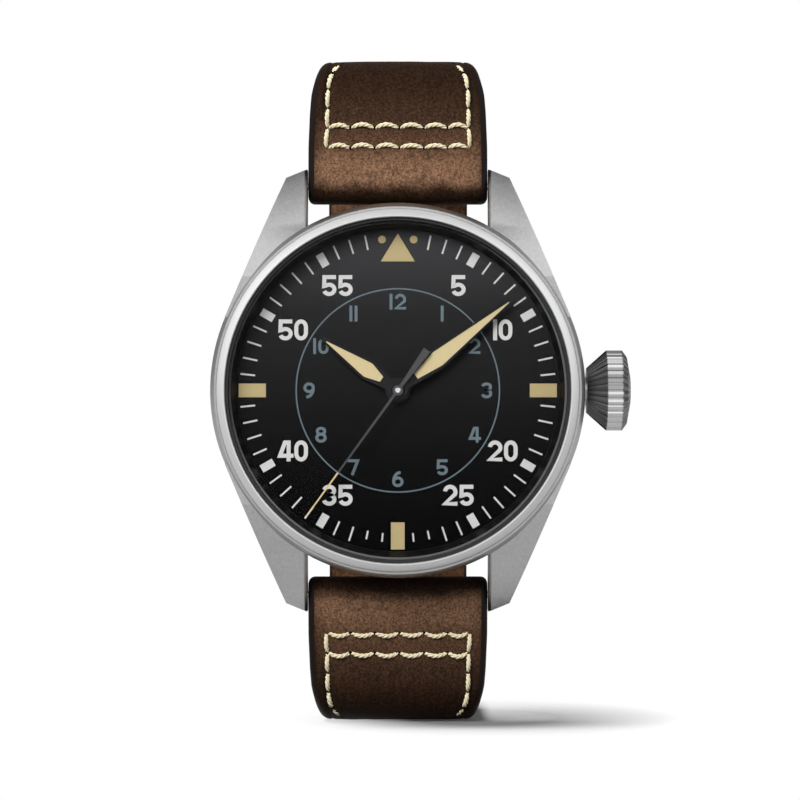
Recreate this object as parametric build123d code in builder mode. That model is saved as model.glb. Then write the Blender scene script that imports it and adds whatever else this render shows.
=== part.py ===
from build123d import *
import math
import os

# Automatic pilot watch, buckled and standing on the flattened lower side of its strap.
# The dial faces -Y, twelve o'clock points to +Z and the crown to +X. The origin is the
# centre of the case back's outer face, so the head lies on the -Y side of it and the
# strap's loop on the +Y side. Levels of the head are counted forwards from the case back.
# Lengths are millimetres, angles degrees.

# General clearances
overrun = 3.0
slip = 0.05
fit = 0.01
touch_gap = 0.1

# Case back
back_glass_radius = 13.8
back_glass_thickness = 1.2
back_ledge_width = 0.6
back_ledge_thickness = 0.6
back_flange_inset = 3.1
back_flange_thickness = 1.5
back_neck_inset = 1.0
back_neck_wall = 1.0
back_neck_length = 1.7
back_gasket_width = 0.5
back_gasket_height = 0.43
back_gasket_inset = 0.3
wrench_slots = 6
wrench_slot_width = 2.4
wrench_slot_depth = 0.5
wrench_slot_reach = 1.4

# Middle case and lugs
case_edge_width = 0.85
flank_bottom_inset = 1.9
flank_low_rise = 2.2
flank_low_inset = 0.15
flank_high_drop = 1.0
shoulder_width = 0.5
lip_height = 0.4
lug_play = 0.1
lug_tip_reach = 1.95
lug_angle = 23.0
lug_corner_drop = 1.05
lug_tip_front = 4.7
lug_tip_back = 0.9
lug_top_drop = 1.2
lug_chamfer = 0.3
bar_reach = 2.2
bar_level = 3.6
bar_hole_radius = 0.45
bar_hole_depth = 1.5

# Movement space, counted forwards from the case back's glass
rotor_clearance = 0.15
rotor_web_thickness = 0.4
rotor_rim_thickness = 1.2
bridge_clearance = 0.25
bridge_thickness = 1.0
train_room = 2.6
plate_thickness = 1.4
motion_room = 0.8
movement_radius = 15.0
ring_ledge = 0.5

# Dial, flange and bezel
dial_radius = 19.3
dial_thickness = 0.4
dial_hole_radius = 1.15
dial_foot_radius = 0.35
dial_foot_length = 1.5
dial_foot_orbit = 13.2
dial_foot_angle = 60.0
marker_thickness = 0.1
flange_width = 0.85
flange_height = 1.35
flange_top_width = 0.25
bezel_seat_rise = 0.6
bezel_bore_play = 0.38
bezel_width = 0.97
bezel_height = 2.5
bezel_slope = 0.75
bezel_edge_chamfer = 0.15
gasket_wall = 0.35
gasket_height = 1.3
crystal_edge_height = 1.4
crystal_dome_rise = 1.2
crystal_hollow_rise = 0.9
crystal_edge_chamfer = 0.2

# Markers of the dial
quarter_bar_length = 3.1
quarter_bar_width = 1.57
quarter_bar_orbit = 16.65
triangle_tip_orbit = 17.95
triangle_base_orbit = 14.75
triangle_half_width = 1.95
dot_radius = 0.44
dot_orbit = 17.35
dot_angle = 6.0

# Hands
hour_angle = 304.3
minute_angle = 51.6
second_angle = 216.0
hour_hand_rise = 0.4
minute_hand_rise = 0.9
second_hand_rise = 1.38
hand_thickness = 0.18
second_hand_thickness = 0.12
hour_hand_length = 10.8
hour_hand_width = 2.4
hour_hand_belly = 4.1
hour_hub_radius = 1.4
minute_hand_length = 17.1
minute_hand_width = 2.45
minute_hand_belly = 5.8
minute_hub_radius = 1.1
hand_tip_width = 0.22
hand_neck_width = 0.95
hand_border = 0.3
lume_thickness = 0.12
second_hand_length = 17.7
second_hand_width = 0.3
second_tail_length = 5.7
second_tail_width = 0.9
second_hub_radius = 0.6
second_pipe_radius = 0.35

# Arbors and hand tubes
arbor_radius = 0.2
pivot_radius = 0.1
pivot_length = 0.35
jewel_radius = 0.45
jewel_bore_radius = 0.14
jewel_thickness = 0.5
centre_tube_wall = 0.17
cannon_wall = 0.25
hour_tube_wall = 0.24

# Going train: teeth, modules and levels above the bridges' front face
barrel_teeth = 70
barrel_module = 0.14
barrel_orbit = 9.3
barrel_angle = 54.0
barrel_rise = 0.2
barrel_height = 1.7
barrel_rim = 0.4
barrel_teeth_rise = 0.5
barrel_teeth_thickness = 0.4
barrel_arbor_radius = 0.6
great_pinion_teeth = 10
great_orbit = 5.0
great_teeth = 64
great_module = 0.13
great_pinion_rise = 0.4
great_wheel_rise = 2.15
third_teeth = 60
third_module = 0.13
third_pinion_teeth = 8
third_pinion_rise = 2.0
third_wheel_rise = 1.55
seconds_teeth = 84
seconds_module = 0.09
seconds_pinion_teeth = 8
seconds_pinion_rise = 1.45
seconds_wheel_rise = 1.0
wheel_thickness = 0.2
pinion_length = 0.45
wheel_hub_radius = 0.7
escape_pinion_teeth = 7
escape_pinion_rise = 0.9
escape_angle = 215.0
escape_teeth = 20
escape_radius = 2.3
escape_tooth_height = 0.5
escape_wheel_rise = 2.0
escape_wheel_thickness = 0.15
fork_orbit = 2.9
fork_rise = 1.95
fork_thickness = 0.3
fork_width = 0.4
fork_stone_angle = 27.0
fork_stone_width = 0.22
fork_stone_length = 0.5
fork_lever_length = 2.55
fork_slot_width = 0.26
fork_slot_depth = 0.35
fork_mouth_width = 0.7
train_direction = 280.0

# Balance
balance_distance = 3.2
balance_radius = 4.3
balance_rim_width = 0.6
balance_rise = 0.35
balance_thickness = 0.5
balance_spoke_width = 0.4
balance_hub_radius = 0.6
roller_radius = 0.9
roller_rise = 1.5
roller_thickness = 0.2
roller_pin_radius = 0.09
roller_pin_orbit = 0.68
roller_pin_length = 0.4
spring_rise = 0.1
spring_height = 0.2
spring_width = 0.12
spring_inner_radius = 0.52
spring_pitch = 0.53
spring_half_turns = 8
stud_radius = 0.18

# Hand setting train behind the dial
cannon_teeth = 12
minute_teeth = 36
minute_pinion_teeth = 10
hour_teeth = 40
motion_module = 0.12
cannon_rise = 0.05
cannon_teeth_height = 0.27
minute_wheel_rise = 0.1
minute_wheel_thickness = 0.15
hour_wheel_rise = 0.38
hour_wheel_thickness = 0.15

# Winding work
ratchet_teeth = 56
crown_wheel_teeth = 40
winding_module = 0.16
winding_wheel_thickness = 0.3
winding_proud = 0.1
winding_recess = 0.25
recess_clearance = 0.15
crown_wheel_screw_radius = 0.9
winding_pinion_teeth = 20
winding_pinion_length = 0.9
click_angle = 160.0
click_distance = 5.6
click_hub_radius = 0.55
click_pin_radius = 0.25

# Stem, crown and tube
stem_rise = 0.8
stem_radius = 0.5
stem_start = 7.6
stem_groove_x = 11.65
stem_groove_width = 0.5
stem_groove_radius = 0.3
lever_thickness = 0.4
lever_width = 1.3
lever_length = 3.9
lever_drop = 1.0
lever_tab_width = 0.36
tube_radius = 1.5
tube_wall = 0.75
tube_reach = 1.9
crown_gap = 0.3
crown_length = 5.05
crown_radius = 4.65
crown_base_radius = 2.6
crown_cone_length = 2.3
crown_band_length = 1.8
crown_dome_length = 0.55
crown_dome_radius = 3.9
crown_end_radius = 1.75
crown_flutes = 32
crown_flute_depth = 0.28
crown_well_radius = 1.95
crown_gasket_length = 0.35
stem_seat_length = 1.0

# Rotor
rotor_radius = 13.55
rotor_rim_width = 3.3
rotor_step = 0.65
rotor_hub_radius = 2.2
rotor_bore_radius = 1.2
rotor_window_inner = 4.2
rotor_window_outer = 9.0
rotor_window_angle = 30.0
rotor_windows = 4

# Bridges and their screws
bridge_radius = 14.6
bridge_split = 0.35
foot_radius = 1.0
foot_orbit = 13.1
barrel_feet_angles = (101.0, 27.0)
train_feet_angles = (173.0, 330.0, 300.0)
cock_foot_angle = 222.0
cock_arm_thickness = 0.4
stud_arm_extra = 0.3
pallet_foot_distance = 4.1
screw_radius = 0.4
screw_head_radius = 0.75
screw_head_height = 0.35
screw_slot_width = 0.2
screw_slot_depth = 0.15
screw_reach = 1.0
cock_boss_radius = 1.7
pallet_bridge_rise = 1.0
pallet_bridge_thickness = 0.4
pallet_bridge_width = 1.2

# Strap, its loop and its lining edges
strap_width = 20.8
strap_thickness = 3.4
fold_radius = 2.1
strap_bow = 14.9
rise_radius = 40.0
rise_angle = 10.0
back_corner_radius = 14.0
loop_back = 46.0
strap_layer_gap = 0.1
strap_end_width = 18.0
buckle_height = 7.0
tail_tip_height = 22.8
tail_chamfer = 4.0
strap_hole_width = 2.2
strap_hole_length = 4.6
strap_hole_pitch = 6.6
strap_holes_below = 3
strap_holes_above = 1
strap_hole_drop = 7.3
strap_front_straight = 3.8

# Spring bars
bar_tube_radius = 0.9
bar_tube_inset = 1.3
bar_pin_radius = 0.4
bar_pin_reach = 0.8
bar_pin_root = 1.4

# Buckle and keepers
buckle_bar_radius = 0.6
buckle_clearance = 0.3
buckle_leg_width = 1.8
buckle_boss_radius = 1.5
buckle_reach = 11.5
buckle_end_width = 2.4
buckle_end_depth = 2.0
buckle_round = 0.5
tongue_width = 1.6
tongue_thickness = 1.0
tongue_slot_width = 2.0
keeper_wall = 0.9
keeper_width = 4.0
keeper_clearance = 0.2
keeper_spacing = 6.8
keeper_first = 4.2

# Radii and levels worked out from the sizes above
bezel_inner_radius = dial_radius + bezel_bore_play
bezel_radius = bezel_inner_radius + bezel_width
flange_inner_radius = dial_radius - flange_width
case_radius = bezel_radius + case_edge_width
back_flange_radius = case_radius - back_flange_inset
back_neck_radius = back_flange_radius - back_neck_inset
tube_end = case_radius + tube_reach
crown_start = case_radius + crown_gap
bar_orbit = case_radius + bar_reach
lug_gap = strap_width + 2 * lug_play
lug_span = 2 * (bar_orbit + lug_tip_reach)
strap_half_height = bar_orbit + strap_bow
rotor_back = back_glass_thickness + back_ledge_thickness + rotor_clearance
rotor_front = rotor_back + rotor_rim_thickness
bridge_back = rotor_front + bridge_clearance
bridge_front = bridge_back + bridge_thickness
plate_back = bridge_front + train_room
plate_front = plate_back + plate_thickness
dial_back = plate_front + motion_room
dial_front = dial_back + dial_thickness
bezel_seat = dial_front + bezel_seat_rise
bezel_front = bezel_seat + bezel_height
crystal_back = dial_front + flange_height + slip
stem_level = bridge_front + stem_rise
cavity_radius = back_neck_radius + slip
ring_inner_radius = movement_radius + slip
centre = (0, 0)

radial_plane = Plane(origin=(0, 0, 0), x_dir=(1, 0, 0), z_dir=(0, 0, -1))


def face_plane(level, place=centre):
    """Plane parallel to the dial at a level, with its origin over a place of the dial."""
    return Plane(origin=(place[0], -level, place[1]), x_dir=(1, 0, 0), z_dir=(0, -1, 0))


def hand_plane(level, clock_angle):
    """Plane parallel to the dial whose second direction points at a clock angle."""
    turn = math.radians(clock_angle)
    return Plane(
        origin=(0, -level, 0),
        x_dir=(math.cos(turn), 0, -math.sin(turn)),
        z_dir=(0, -1, 0),
    )


def stem_plane(distance):
    """Plane square to the winding stem at a distance from the dial's axis."""
    return Plane(origin=(distance, -stem_level, 0), x_dir=(0, 1, 0), z_dir=(1, 0, 0))


def polar(distance, angle, start=centre):
    """Place at a distance and direction from a start place."""
    turn = math.radians(angle)
    return (start[0] + distance * math.cos(turn), start[1] + distance * math.sin(turn))


def direction_of(start, end):
    """Direction in degrees from one place to another."""
    return math.degrees(math.atan2(end[1] - start[1], end[0] - start[0]))


def mesh_distance(module, teeth_a, teeth_b):
    """Distance between the arbors of two wheels in mesh."""
    return module * (teeth_a + teeth_b) / 2


def meeting_place(first, first_reach, second, second_reach, side):
    """Place at given distances from two others, on the left (1) or right (-1) of their line."""
    span = math.dist(first, second)
    along = (first_reach**2 - second_reach**2 + span**2) / (2 * span)
    across = math.sqrt(first_reach**2 - along**2)
    line = direction_of(first, second)
    return polar(across, line + side * 90, polar(along, line, first))


def mesh_phase(phase, teeth, partner_teeth, direction):
    """Phase of a partner so that its gap meets the tooth of a wheel at a direction."""
    pitch = 360 / teeth
    share = ((direction - phase) % pitch) / pitch
    return direction + 180 - (0.5 - share) * 360 / partner_teeth


def gear_points(teeth, module, phase, addendum_share=0.85, root_share=1.15):
    """Outline of a wheel with straight-sided teeth and a little backlash."""
    pitch_radius = module * teeth / 2
    outer = pitch_radius + module * addendum_share
    root = pitch_radius - module * root_share
    step = 360 / teeth
    points = []
    for tooth in range(teeth):
        middle = phase + tooth * step
        for radius, turn_share in ((root, -0.32), (outer, -0.12), (outer, 0.12), (root, 0.32)):
            points.append(polar(radius, middle + turn_share * step))
    return points


def add_gear(plane, thickness, teeth, module, phase, **shares):
    """Extrude a toothed disc into the part that is being built."""
    with BuildSketch(plane) as toothed:
        with BuildLine():
            Polyline(*gear_points(teeth, module, phase, **shares), close=True)
        make_face()
    extrude(toothed.sketch, amount=thickness)


def add_disc(plane, radius, thickness, mode=Mode.ADD):
    """Extrude a round disc into the part that is being built."""
    with BuildSketch(plane) as disc:
        Circle(radius)
    extrude(disc.sketch, amount=thickness, mode=mode)


def add_arbor(place, front=None):
    """Arbor between bridge and plate with a pivot at each end, or through the plate."""
    start = bridge_front + slip
    end = plate_back - slip if front is None else front
    add_disc(face_plane(start, place), arbor_radius, end - start)
    add_disc(face_plane(start - pivot_length, place), pivot_radius, pivot_length)
    if front is None:
        add_disc(face_plane(end, place), pivot_radius, pivot_length)


def add_revolved(points, axis=Axis.Y, mode=Mode.ADD, plane=radial_plane):
    """Revolve a closed outline of radius and level points about an axis."""
    with BuildSketch(plane) as outline:
        with BuildLine():
            Polyline(*points, close=True)
        make_face()
    revolve(outline.sketch, axis=axis, mode=mode)


def save(name, label):
    """Label a finished piece and write it to its file."""
    name.part.label = label
    export_step(name.part, f"parts/{label}.step")


os.makedirs("parts", exist_ok=True)

# Places of the movement's arbors, seen from the dial side
barrel_place = polar(barrel_orbit, barrel_angle)
great_place = meeting_place(
    centre, great_orbit, barrel_place, mesh_distance(barrel_module, barrel_teeth, great_pinion_teeth), 1
)
third_place = meeting_place(
    centre,
    mesh_distance(third_module, third_teeth, seconds_pinion_teeth),
    great_place,
    mesh_distance(great_module, great_teeth, third_pinion_teeth),
    1,
)
escape_place = polar(mesh_distance(seconds_module, seconds_teeth, escape_pinion_teeth), escape_angle)
fork_place = polar(fork_orbit, train_direction, escape_place)
balance_place = polar(balance_distance, train_direction, fork_place)
motion_distance = mesh_distance(motion_module, cannon_teeth, minute_teeth)
minute_place = meeting_place(centre, motion_distance, great_place, motion_distance, -1)
hour_module = 2 * motion_distance / (minute_pinion_teeth + hour_teeth)
ratchet_place = barrel_place
winding_distance = mesh_distance(winding_module, ratchet_teeth, crown_wheel_teeth)
crown_wheel_place = (ratchet_place[0] + math.sqrt(winding_distance**2 - ratchet_place[1] ** 2), 0)
winding_pinion_radius = winding_module * (winding_pinion_teeth / 2 + 0.85)
winding_pinion_start = crown_wheel_place[0] + winding_module * (crown_wheel_teeth / 2 - 1.15) + slip
winding_pinion_x = winding_pinion_start + winding_pinion_length / 2
click_place = polar(click_distance, click_angle, ratchet_place)

# Case back: screwed ring, display glass and gasket
back_bore_radius = back_glass_radius + fit
neck_front = back_flange_thickness + back_neck_length
gasket_inner = back_neck_radius + back_gasket_inset

with BuildPart() as case_back:
    add_revolved(
        [
            (back_bore_radius, 0),
            (back_flange_radius - wrench_slot_depth, 0),
            (back_flange_radius, wrench_slot_depth),
            (back_flange_radius, back_flange_thickness),
            (back_neck_radius, back_flange_thickness),
            (back_neck_radius, neck_front),
            (back_neck_radius - back_neck_wall, neck_front),
            (back_neck_radius - back_neck_wall, back_glass_thickness + back_ledge_thickness),
            (back_bore_radius - back_ledge_width, back_glass_thickness + back_ledge_thickness),
            (back_bore_radius - back_ledge_width, back_glass_thickness),
            (back_bore_radius, back_glass_thickness),
        ]
    )
    with BuildSketch(face_plane(back_flange_thickness - back_gasket_height)):
        Circle(gasket_inner + back_gasket_width)
        Circle(gasket_inner, mode=Mode.SUBTRACT)
    extrude(amount=back_gasket_height + overrun, mode=Mode.SUBTRACT)
    with BuildSketch(face_plane(0)):
        with PolarLocations(back_flange_radius - wrench_slot_reach / 2, wrench_slots):
            Rectangle(wrench_slot_reach, wrench_slot_width)
    extrude(amount=wrench_slot_depth, mode=Mode.SUBTRACT)
save(case_back, "case_back")

with BuildPart() as case_back_crystal:
    add_disc(face_plane(0), back_glass_radius, back_glass_thickness)
save(case_back_crystal, "case_back_crystal")

with BuildPart() as case_back_gasket:
    with BuildSketch(face_plane(back_flange_thickness - back_gasket_height)):
        Circle(gasket_inner + back_gasket_width - fit)
        Circle(gasket_inner + fit, mode=Mode.SUBTRACT)
    extrude(amount=back_gasket_height)
save(case_back_gasket, "case_back_gasket")

# Middle case with its four lugs
lug_inner = lug_gap / 2
lug_tip = lug_span / 2
lug_corner_z = lug_tip - lug_corner_drop
lug_turn = math.radians(lug_angle)
lug_corner_x = (case_radius - lug_corner_z * math.sin(lug_turn)) / math.cos(lug_turn)
lug_root = (case_radius * math.cos(lug_turn), case_radius * math.sin(lug_turn))
lug_top_level = bezel_seat - lug_chamfer
dial_seat_radius = dial_radius + touch_gap
lip_inner_radius = bezel_radius + touch_gap
lip_front = bezel_seat + lip_height

with BuildPart() as case_middle:
    with BuildSketch(face_plane(0)):
        with BuildLine():
            Polyline(
                (lug_inner, lug_root[1]),
                (lug_inner, lug_tip),
                (lug_corner_x, lug_corner_z),
                lug_root,
                close=True,
            )
        make_face()
    extrude(amount=lug_top_level)
    with BuildSketch(Plane.YZ):
        with BuildLine():
            top = ThreePointArc(
                (-lug_top_level, lug_root[1]),
                (-lug_top_level + lug_top_drop, bar_orbit * 0.78),
                (-lug_tip_front, lug_tip),
            )
            Polyline(
                top @ 1,
                (-lug_tip_back, lug_tip),
                (-lug_tip_back, bar_orbit - fold_radius),
                (-back_flange_thickness, case_radius - flank_bottom_inset),
                (-back_flange_thickness, lug_root[1]),
                top @ 0,
            )
        make_face()
    extrude(amount=case_radius, both=True, mode=Mode.INTERSECT)
    lug_edges = case_middle.edges().filter_by(GeomType.CIRCLE).sort_by(Axis.X)
    chamfer([lug_edges[0], lug_edges[-1]], lug_chamfer)
    mirror(about=Plane.YZ)
    mirror(about=Plane.XY)
    add_revolved(
        [
            (0, back_flange_thickness),
            (case_radius - flank_bottom_inset, back_flange_thickness),
            (case_radius - flank_low_inset, back_flange_thickness + flank_low_rise),
            (case_radius, back_flange_thickness + 2 * flank_low_rise),
            (case_radius, bezel_seat - flank_high_drop),
            (case_radius - shoulder_width, lip_front),
            (lip_inner_radius, lip_front),
            (lip_inner_radius, bezel_seat),
            (0, bezel_seat),
        ]
    )
    add_revolved(
        [
            (0, -overrun),
            (cavity_radius, -overrun),
            (cavity_radius, dial_back),
            (dial_seat_radius, dial_back),
            (dial_seat_radius, bezel_front + overrun),
            (0, bezel_front + overrun),
        ],
        mode=Mode.SUBTRACT,
    )
    for side in (-1, 1):
        with BuildSketch(Plane(origin=(-lug_inner - bar_hole_depth, 0, 0), x_dir=(0, 1, 0), z_dir=(1, 0, 0))):
            with Locations((-bar_level, side * bar_orbit)):
                Circle(bar_hole_radius)
        extrude(amount=lug_gap + 2 * bar_hole_depth, mode=Mode.SUBTRACT)
    add_disc(stem_plane(cavity_radius - overrun), tube_radius + fit, case_radius, mode=Mode.SUBTRACT)
save(case_middle, "case_middle")

# Bezel, crystal, its gasket and the flange
with BuildPart() as bezel:
    add_revolved(
        [
            (dial_seat_radius, bezel_seat),
            (bezel_radius, bezel_seat),
            (bezel_radius, bezel_front - bezel_slope),
            (bezel_radius - bezel_edge_chamfer, bezel_front - bezel_slope + bezel_edge_chamfer),
            (bezel_inner_radius + bezel_edge_chamfer, bezel_front),
            (bezel_inner_radius, bezel_front - bezel_edge_chamfer),
            (bezel_inner_radius, crystal_back),
            (dial_seat_radius, crystal_back),
        ]
    )
save(bezel, "bezel")

crystal_radius = bezel_inner_radius - gasket_wall - fit
crystal_edge_front = crystal_back + crystal_edge_height
crystal_front = crystal_edge_front + crystal_dome_rise


def dome_drop(radius, rise, at_radius):
    """Drop of a spherical dome below its top, at a distance from its axis."""
    sphere = (radius**2 + rise**2) / (2 * rise)
    return sphere - math.sqrt(sphere**2 - at_radius**2)


crystal_inner_radius = crystal_radius - gasket_wall
half_radius = crystal_radius / 2
with BuildPart() as crystal:
    with BuildSketch(radial_plane):
        with BuildLine():
            dome_radius = crystal_radius - crystal_edge_chamfer
            dome_drop_half = dome_drop(dome_radius, crystal_dome_rise, half_radius)
            hollow_drop_half = dome_drop(crystal_inner_radius, crystal_hollow_rise, half_radius)
            outside = ThreePointArc(
                (0, crystal_front),
                (half_radius, crystal_front - dome_drop_half),
                (dome_radius, crystal_edge_front),
            )
            inside = ThreePointArc(
                (crystal_inner_radius, crystal_back),
                (half_radius, crystal_back + crystal_hollow_rise - hollow_drop_half),
                (0, crystal_back + crystal_hollow_rise),
            )
            Polyline(
                outside @ 1,
                (crystal_radius, crystal_edge_front - crystal_edge_chamfer),
                (crystal_radius, crystal_back),
                inside @ 0,
            )
            Line(inside @ 1, outside @ 0)
        make_face()
    revolve(axis=Axis.Y)
save(crystal, "crystal")

with BuildPart() as crystal_gasket:
    with BuildSketch(face_plane(crystal_back)):
        Circle(bezel_inner_radius - fit)
        Circle(crystal_radius + fit, mode=Mode.SUBTRACT)
    extrude(amount=gasket_height)
save(crystal_gasket, "crystal_gasket")

with BuildPart() as flange_ring:
    flange_outer_radius = dial_radius
    add_revolved(
        [
            (flange_inner_radius, dial_front),
            (flange_outer_radius, dial_front),
            (flange_outer_radius, dial_front + flange_height),
            (flange_outer_radius - flange_top_width, dial_front + flange_height),
            (flange_inner_radius, dial_front + flange_top_width),
        ]
    )
save(flange_ring, "flange_ring")

# Dial with its feet, and the raised luminous markers
with BuildPart() as dial:
    with BuildSketch(face_plane(dial_back)):
        Circle(dial_radius)
        Circle(dial_hole_radius, mode=Mode.SUBTRACT)
    extrude(amount=dial_thickness)
    with BuildSketch(face_plane(dial_back)):
        with PolarLocations(dial_foot_orbit, 2, start_angle=dial_foot_angle):
            Circle(dial_foot_radius)
    extrude(amount=-dial_foot_length)
save(dial, "dial")

with BuildPart() as dial_markers:
    with BuildSketch(face_plane(dial_front)):
        with BuildLine():
            Polyline(
                (0, triangle_tip_orbit),
                (-triangle_half_width, triangle_base_orbit),
                (triangle_half_width, triangle_base_orbit),
                close=True,
            )
        make_face()
        for quarter in (0, 180, 270):
            with Locations(Location((*polar(quarter_bar_orbit, quarter), 0), (0, 0, quarter))):
                Rectangle(quarter_bar_length, quarter_bar_width)
        for side in (-1, 1):
            with Locations(polar(dot_orbit, 90 + side * dot_angle)):
                Circle(dot_radius)
    extrude(amount=marker_thickness)
save(dial_markers, "dial_markers")

# Hour and minute hands with their luminous fillings, and the seconds hand
centre_tube_inner = arbor_radius + slip
centre_tube_outer = centre_tube_inner + centre_tube_wall
cannon_inner = centre_tube_outer + slip
cannon_outer = cannon_inner + cannon_wall
hour_tube_inner = cannon_outer + slip
hour_tube_outer = hour_tube_inner + hour_tube_wall
hour_hand_level = dial_front + hour_hand_rise
minute_hand_level = dial_front + minute_hand_rise
second_hand_level = dial_front + second_hand_rise


def blade_points(length, width, belly, start, border):
    """Half of a lozenge-shaped blade, narrower by a border on every side."""
    tip = max(hand_tip_width / 2 - border / 4, hand_tip_width / 4)
    return [
        (max(hand_neck_width / 2 - border, hand_tip_width / 2), start),
        (width / 2 - border, belly),
        (tip, length - border * 3),
    ]


def add_blade(plane, thickness, length, width, belly, start, border, mode=Mode.ADD):
    """Extrude a lozenge-shaped blade that is mirrored about its own middle line."""
    half = blade_points(length, width, belly, start, border)
    with BuildSketch(plane) as blade:
        with BuildLine():
            Polyline(*half, *[(-x, y) for x, y in reversed(half)], close=True)
        make_face()
    extrude(blade.sketch, amount=thickness, mode=mode)


def build_hand(level, angle, length, width, belly, hub_radius, bore_radius):
    """Hand with a round hub and a blade that is cut out for its luminous filling."""
    plane = hand_plane(level, angle)
    add_disc(plane, hub_radius, hand_thickness)
    add_blade(plane, hand_thickness, length, width, belly, 0, 0)
    add_blade(plane, hand_thickness, length, width, belly, hub_radius + hand_border, hand_border, Mode.SUBTRACT)
    add_disc(plane, bore_radius, hand_thickness, mode=Mode.SUBTRACT)


with BuildPart() as hour_hand:
    build_hand(
        hour_hand_level, hour_angle, hour_hand_length, hour_hand_width, hour_hand_belly,
        hour_hub_radius, hour_tube_outer,
    )
save(hour_hand, "hour_hand")

with BuildPart() as hour_hand_lume:
    add_blade(
        hand_plane(hour_hand_level, hour_angle), lume_thickness, hour_hand_length, hour_hand_width,
        hour_hand_belly, hour_hub_radius + hand_border, hand_border,
    )
save(hour_hand_lume, "hour_hand_lume")

with BuildPart() as minute_hand:
    build_hand(
        minute_hand_level, minute_angle, minute_hand_length, minute_hand_width, minute_hand_belly,
        minute_hub_radius, cannon_outer,
    )
save(minute_hand, "minute_hand")

with BuildPart() as minute_hand_lume:
    add_blade(
        hand_plane(minute_hand_level, minute_angle), lume_thickness, minute_hand_length,
        minute_hand_width, minute_hand_belly, minute_hub_radius + hand_border, hand_border,
    )
save(minute_hand_lume, "minute_hand_lume")

with BuildPart() as seconds_hand:
    seconds_plane = hand_plane(second_hand_level, second_angle)
    with BuildSketch(seconds_plane):
        Circle(second_hub_radius)
        with BuildLine():
            Polyline(
                (second_hand_width / 2, 0),
                (second_hand_width / 4, second_hand_length),
                (-second_hand_width / 4, second_hand_length),
                (-second_hand_width / 2, 0),
                (-second_tail_width / 2, -second_tail_length),
                (second_tail_width / 2, -second_tail_length),
                close=True,
            )
        make_face()
    extrude(amount=second_hand_thickness)
    add_disc(seconds_plane, second_pipe_radius, -2 * slip)
    add_disc(seconds_plane.offset(-2 * slip), arbor_radius, 2 * slip + second_hand_thickness / 2, mode=Mode.SUBTRACT)
save(seconds_hand, "seconds_hand")

# Main plate with the jewels, posts and bores of everything that turns in it
screw_places = [polar(foot_orbit, angle) for angle in (*barrel_feet_angles, *train_feet_angles, cock_foot_angle)]
pallet_foot = polar(pallet_foot_distance, train_direction - 90, fork_place)
plate_jewels = [third_place, escape_place, fork_place, balance_place]
back_jewels = [third_place, escape_place, great_place, centre, balance_place]
screw_bore_radius = screw_radius + slip / 2
centre_tube_front = minute_hand_level
minute_post_front = dial_back - arbor_radius
screw_head_front = bridge_back + screw_head_height
screw_front = plate_back + screw_reach

with BuildPart() as main_plate:
    add_disc(face_plane(plate_back), movement_radius, plate_thickness)
    add_disc(face_plane(plate_front, minute_place), arbor_radius, minute_post_front - plate_front)
    add_disc(face_plane(plate_back), centre_tube_outer + fit, plate_thickness, mode=Mode.SUBTRACT)
    add_disc(face_plane(plate_back, great_place), arbor_radius + slip, plate_thickness, mode=Mode.SUBTRACT)
    add_disc(face_plane(plate_back, barrel_place), barrel_arbor_radius + slip, jewel_thickness, mode=Mode.SUBTRACT)
    with BuildSketch(face_plane(plate_back)):
        with Locations(*plate_jewels):
            Circle(jewel_radius)
        with Locations(*screw_places):
            Circle(screw_bore_radius)
    extrude(amount=jewel_thickness, mode=Mode.SUBTRACT)
    with BuildSketch(face_plane(plate_back)):
        with Locations(*screw_places):
            Circle(screw_bore_radius)
    extrude(amount=screw_reach, mode=Mode.SUBTRACT)
    with BuildSketch(face_plane(plate_front)):
        with PolarLocations(dial_foot_orbit, 2, start_angle=dial_foot_angle):
            Circle(dial_foot_radius + slip)
    extrude(amount=motion_room - dial_foot_length, mode=Mode.SUBTRACT)
save(main_plate, "main_plate")

with BuildPart() as jewels:
    with BuildSketch(face_plane(bridge_front - jewel_thickness)):
        with Locations(*back_jewels):
            Circle(jewel_radius - fit)
            Circle(jewel_bore_radius, mode=Mode.SUBTRACT)
    extrude(amount=jewel_thickness)
    with BuildSketch(face_plane(plate_back)):
        with Locations(*plate_jewels):
            Circle(jewel_radius - fit)
            Circle(jewel_bore_radius, mode=Mode.SUBTRACT)
    extrude(amount=jewel_thickness)
save(jewels, "jewels")

with BuildPart() as centre_tube:
    add_disc(face_plane(plate_back), centre_tube_outer, centre_tube_front - plate_back)
    add_disc(face_plane(plate_back), centre_tube_inner, centre_tube_front - plate_back, mode=Mode.SUBTRACT)
save(centre_tube, "centre_tube")


def add_feet(angles):
    """Feet that stand on the main plate, and the stepped bores of their screws."""
    places = [polar(foot_orbit, angle) for angle in angles]
    for place in places:
        add_disc(face_plane(bridge_front, place), foot_radius, train_room)
    for place in places:
        add_disc(face_plane(bridge_back, place), screw_bore_radius, bridge_thickness + train_room, mode=Mode.SUBTRACT)
        add_disc(face_plane(bridge_back, place), screw_head_radius + slip, screw_head_height, mode=Mode.SUBTRACT)


def scaled(shares, size):
    """Points of an outline given as shares of a size."""
    return [(x * size, y * size) for x, y in shares]


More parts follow.
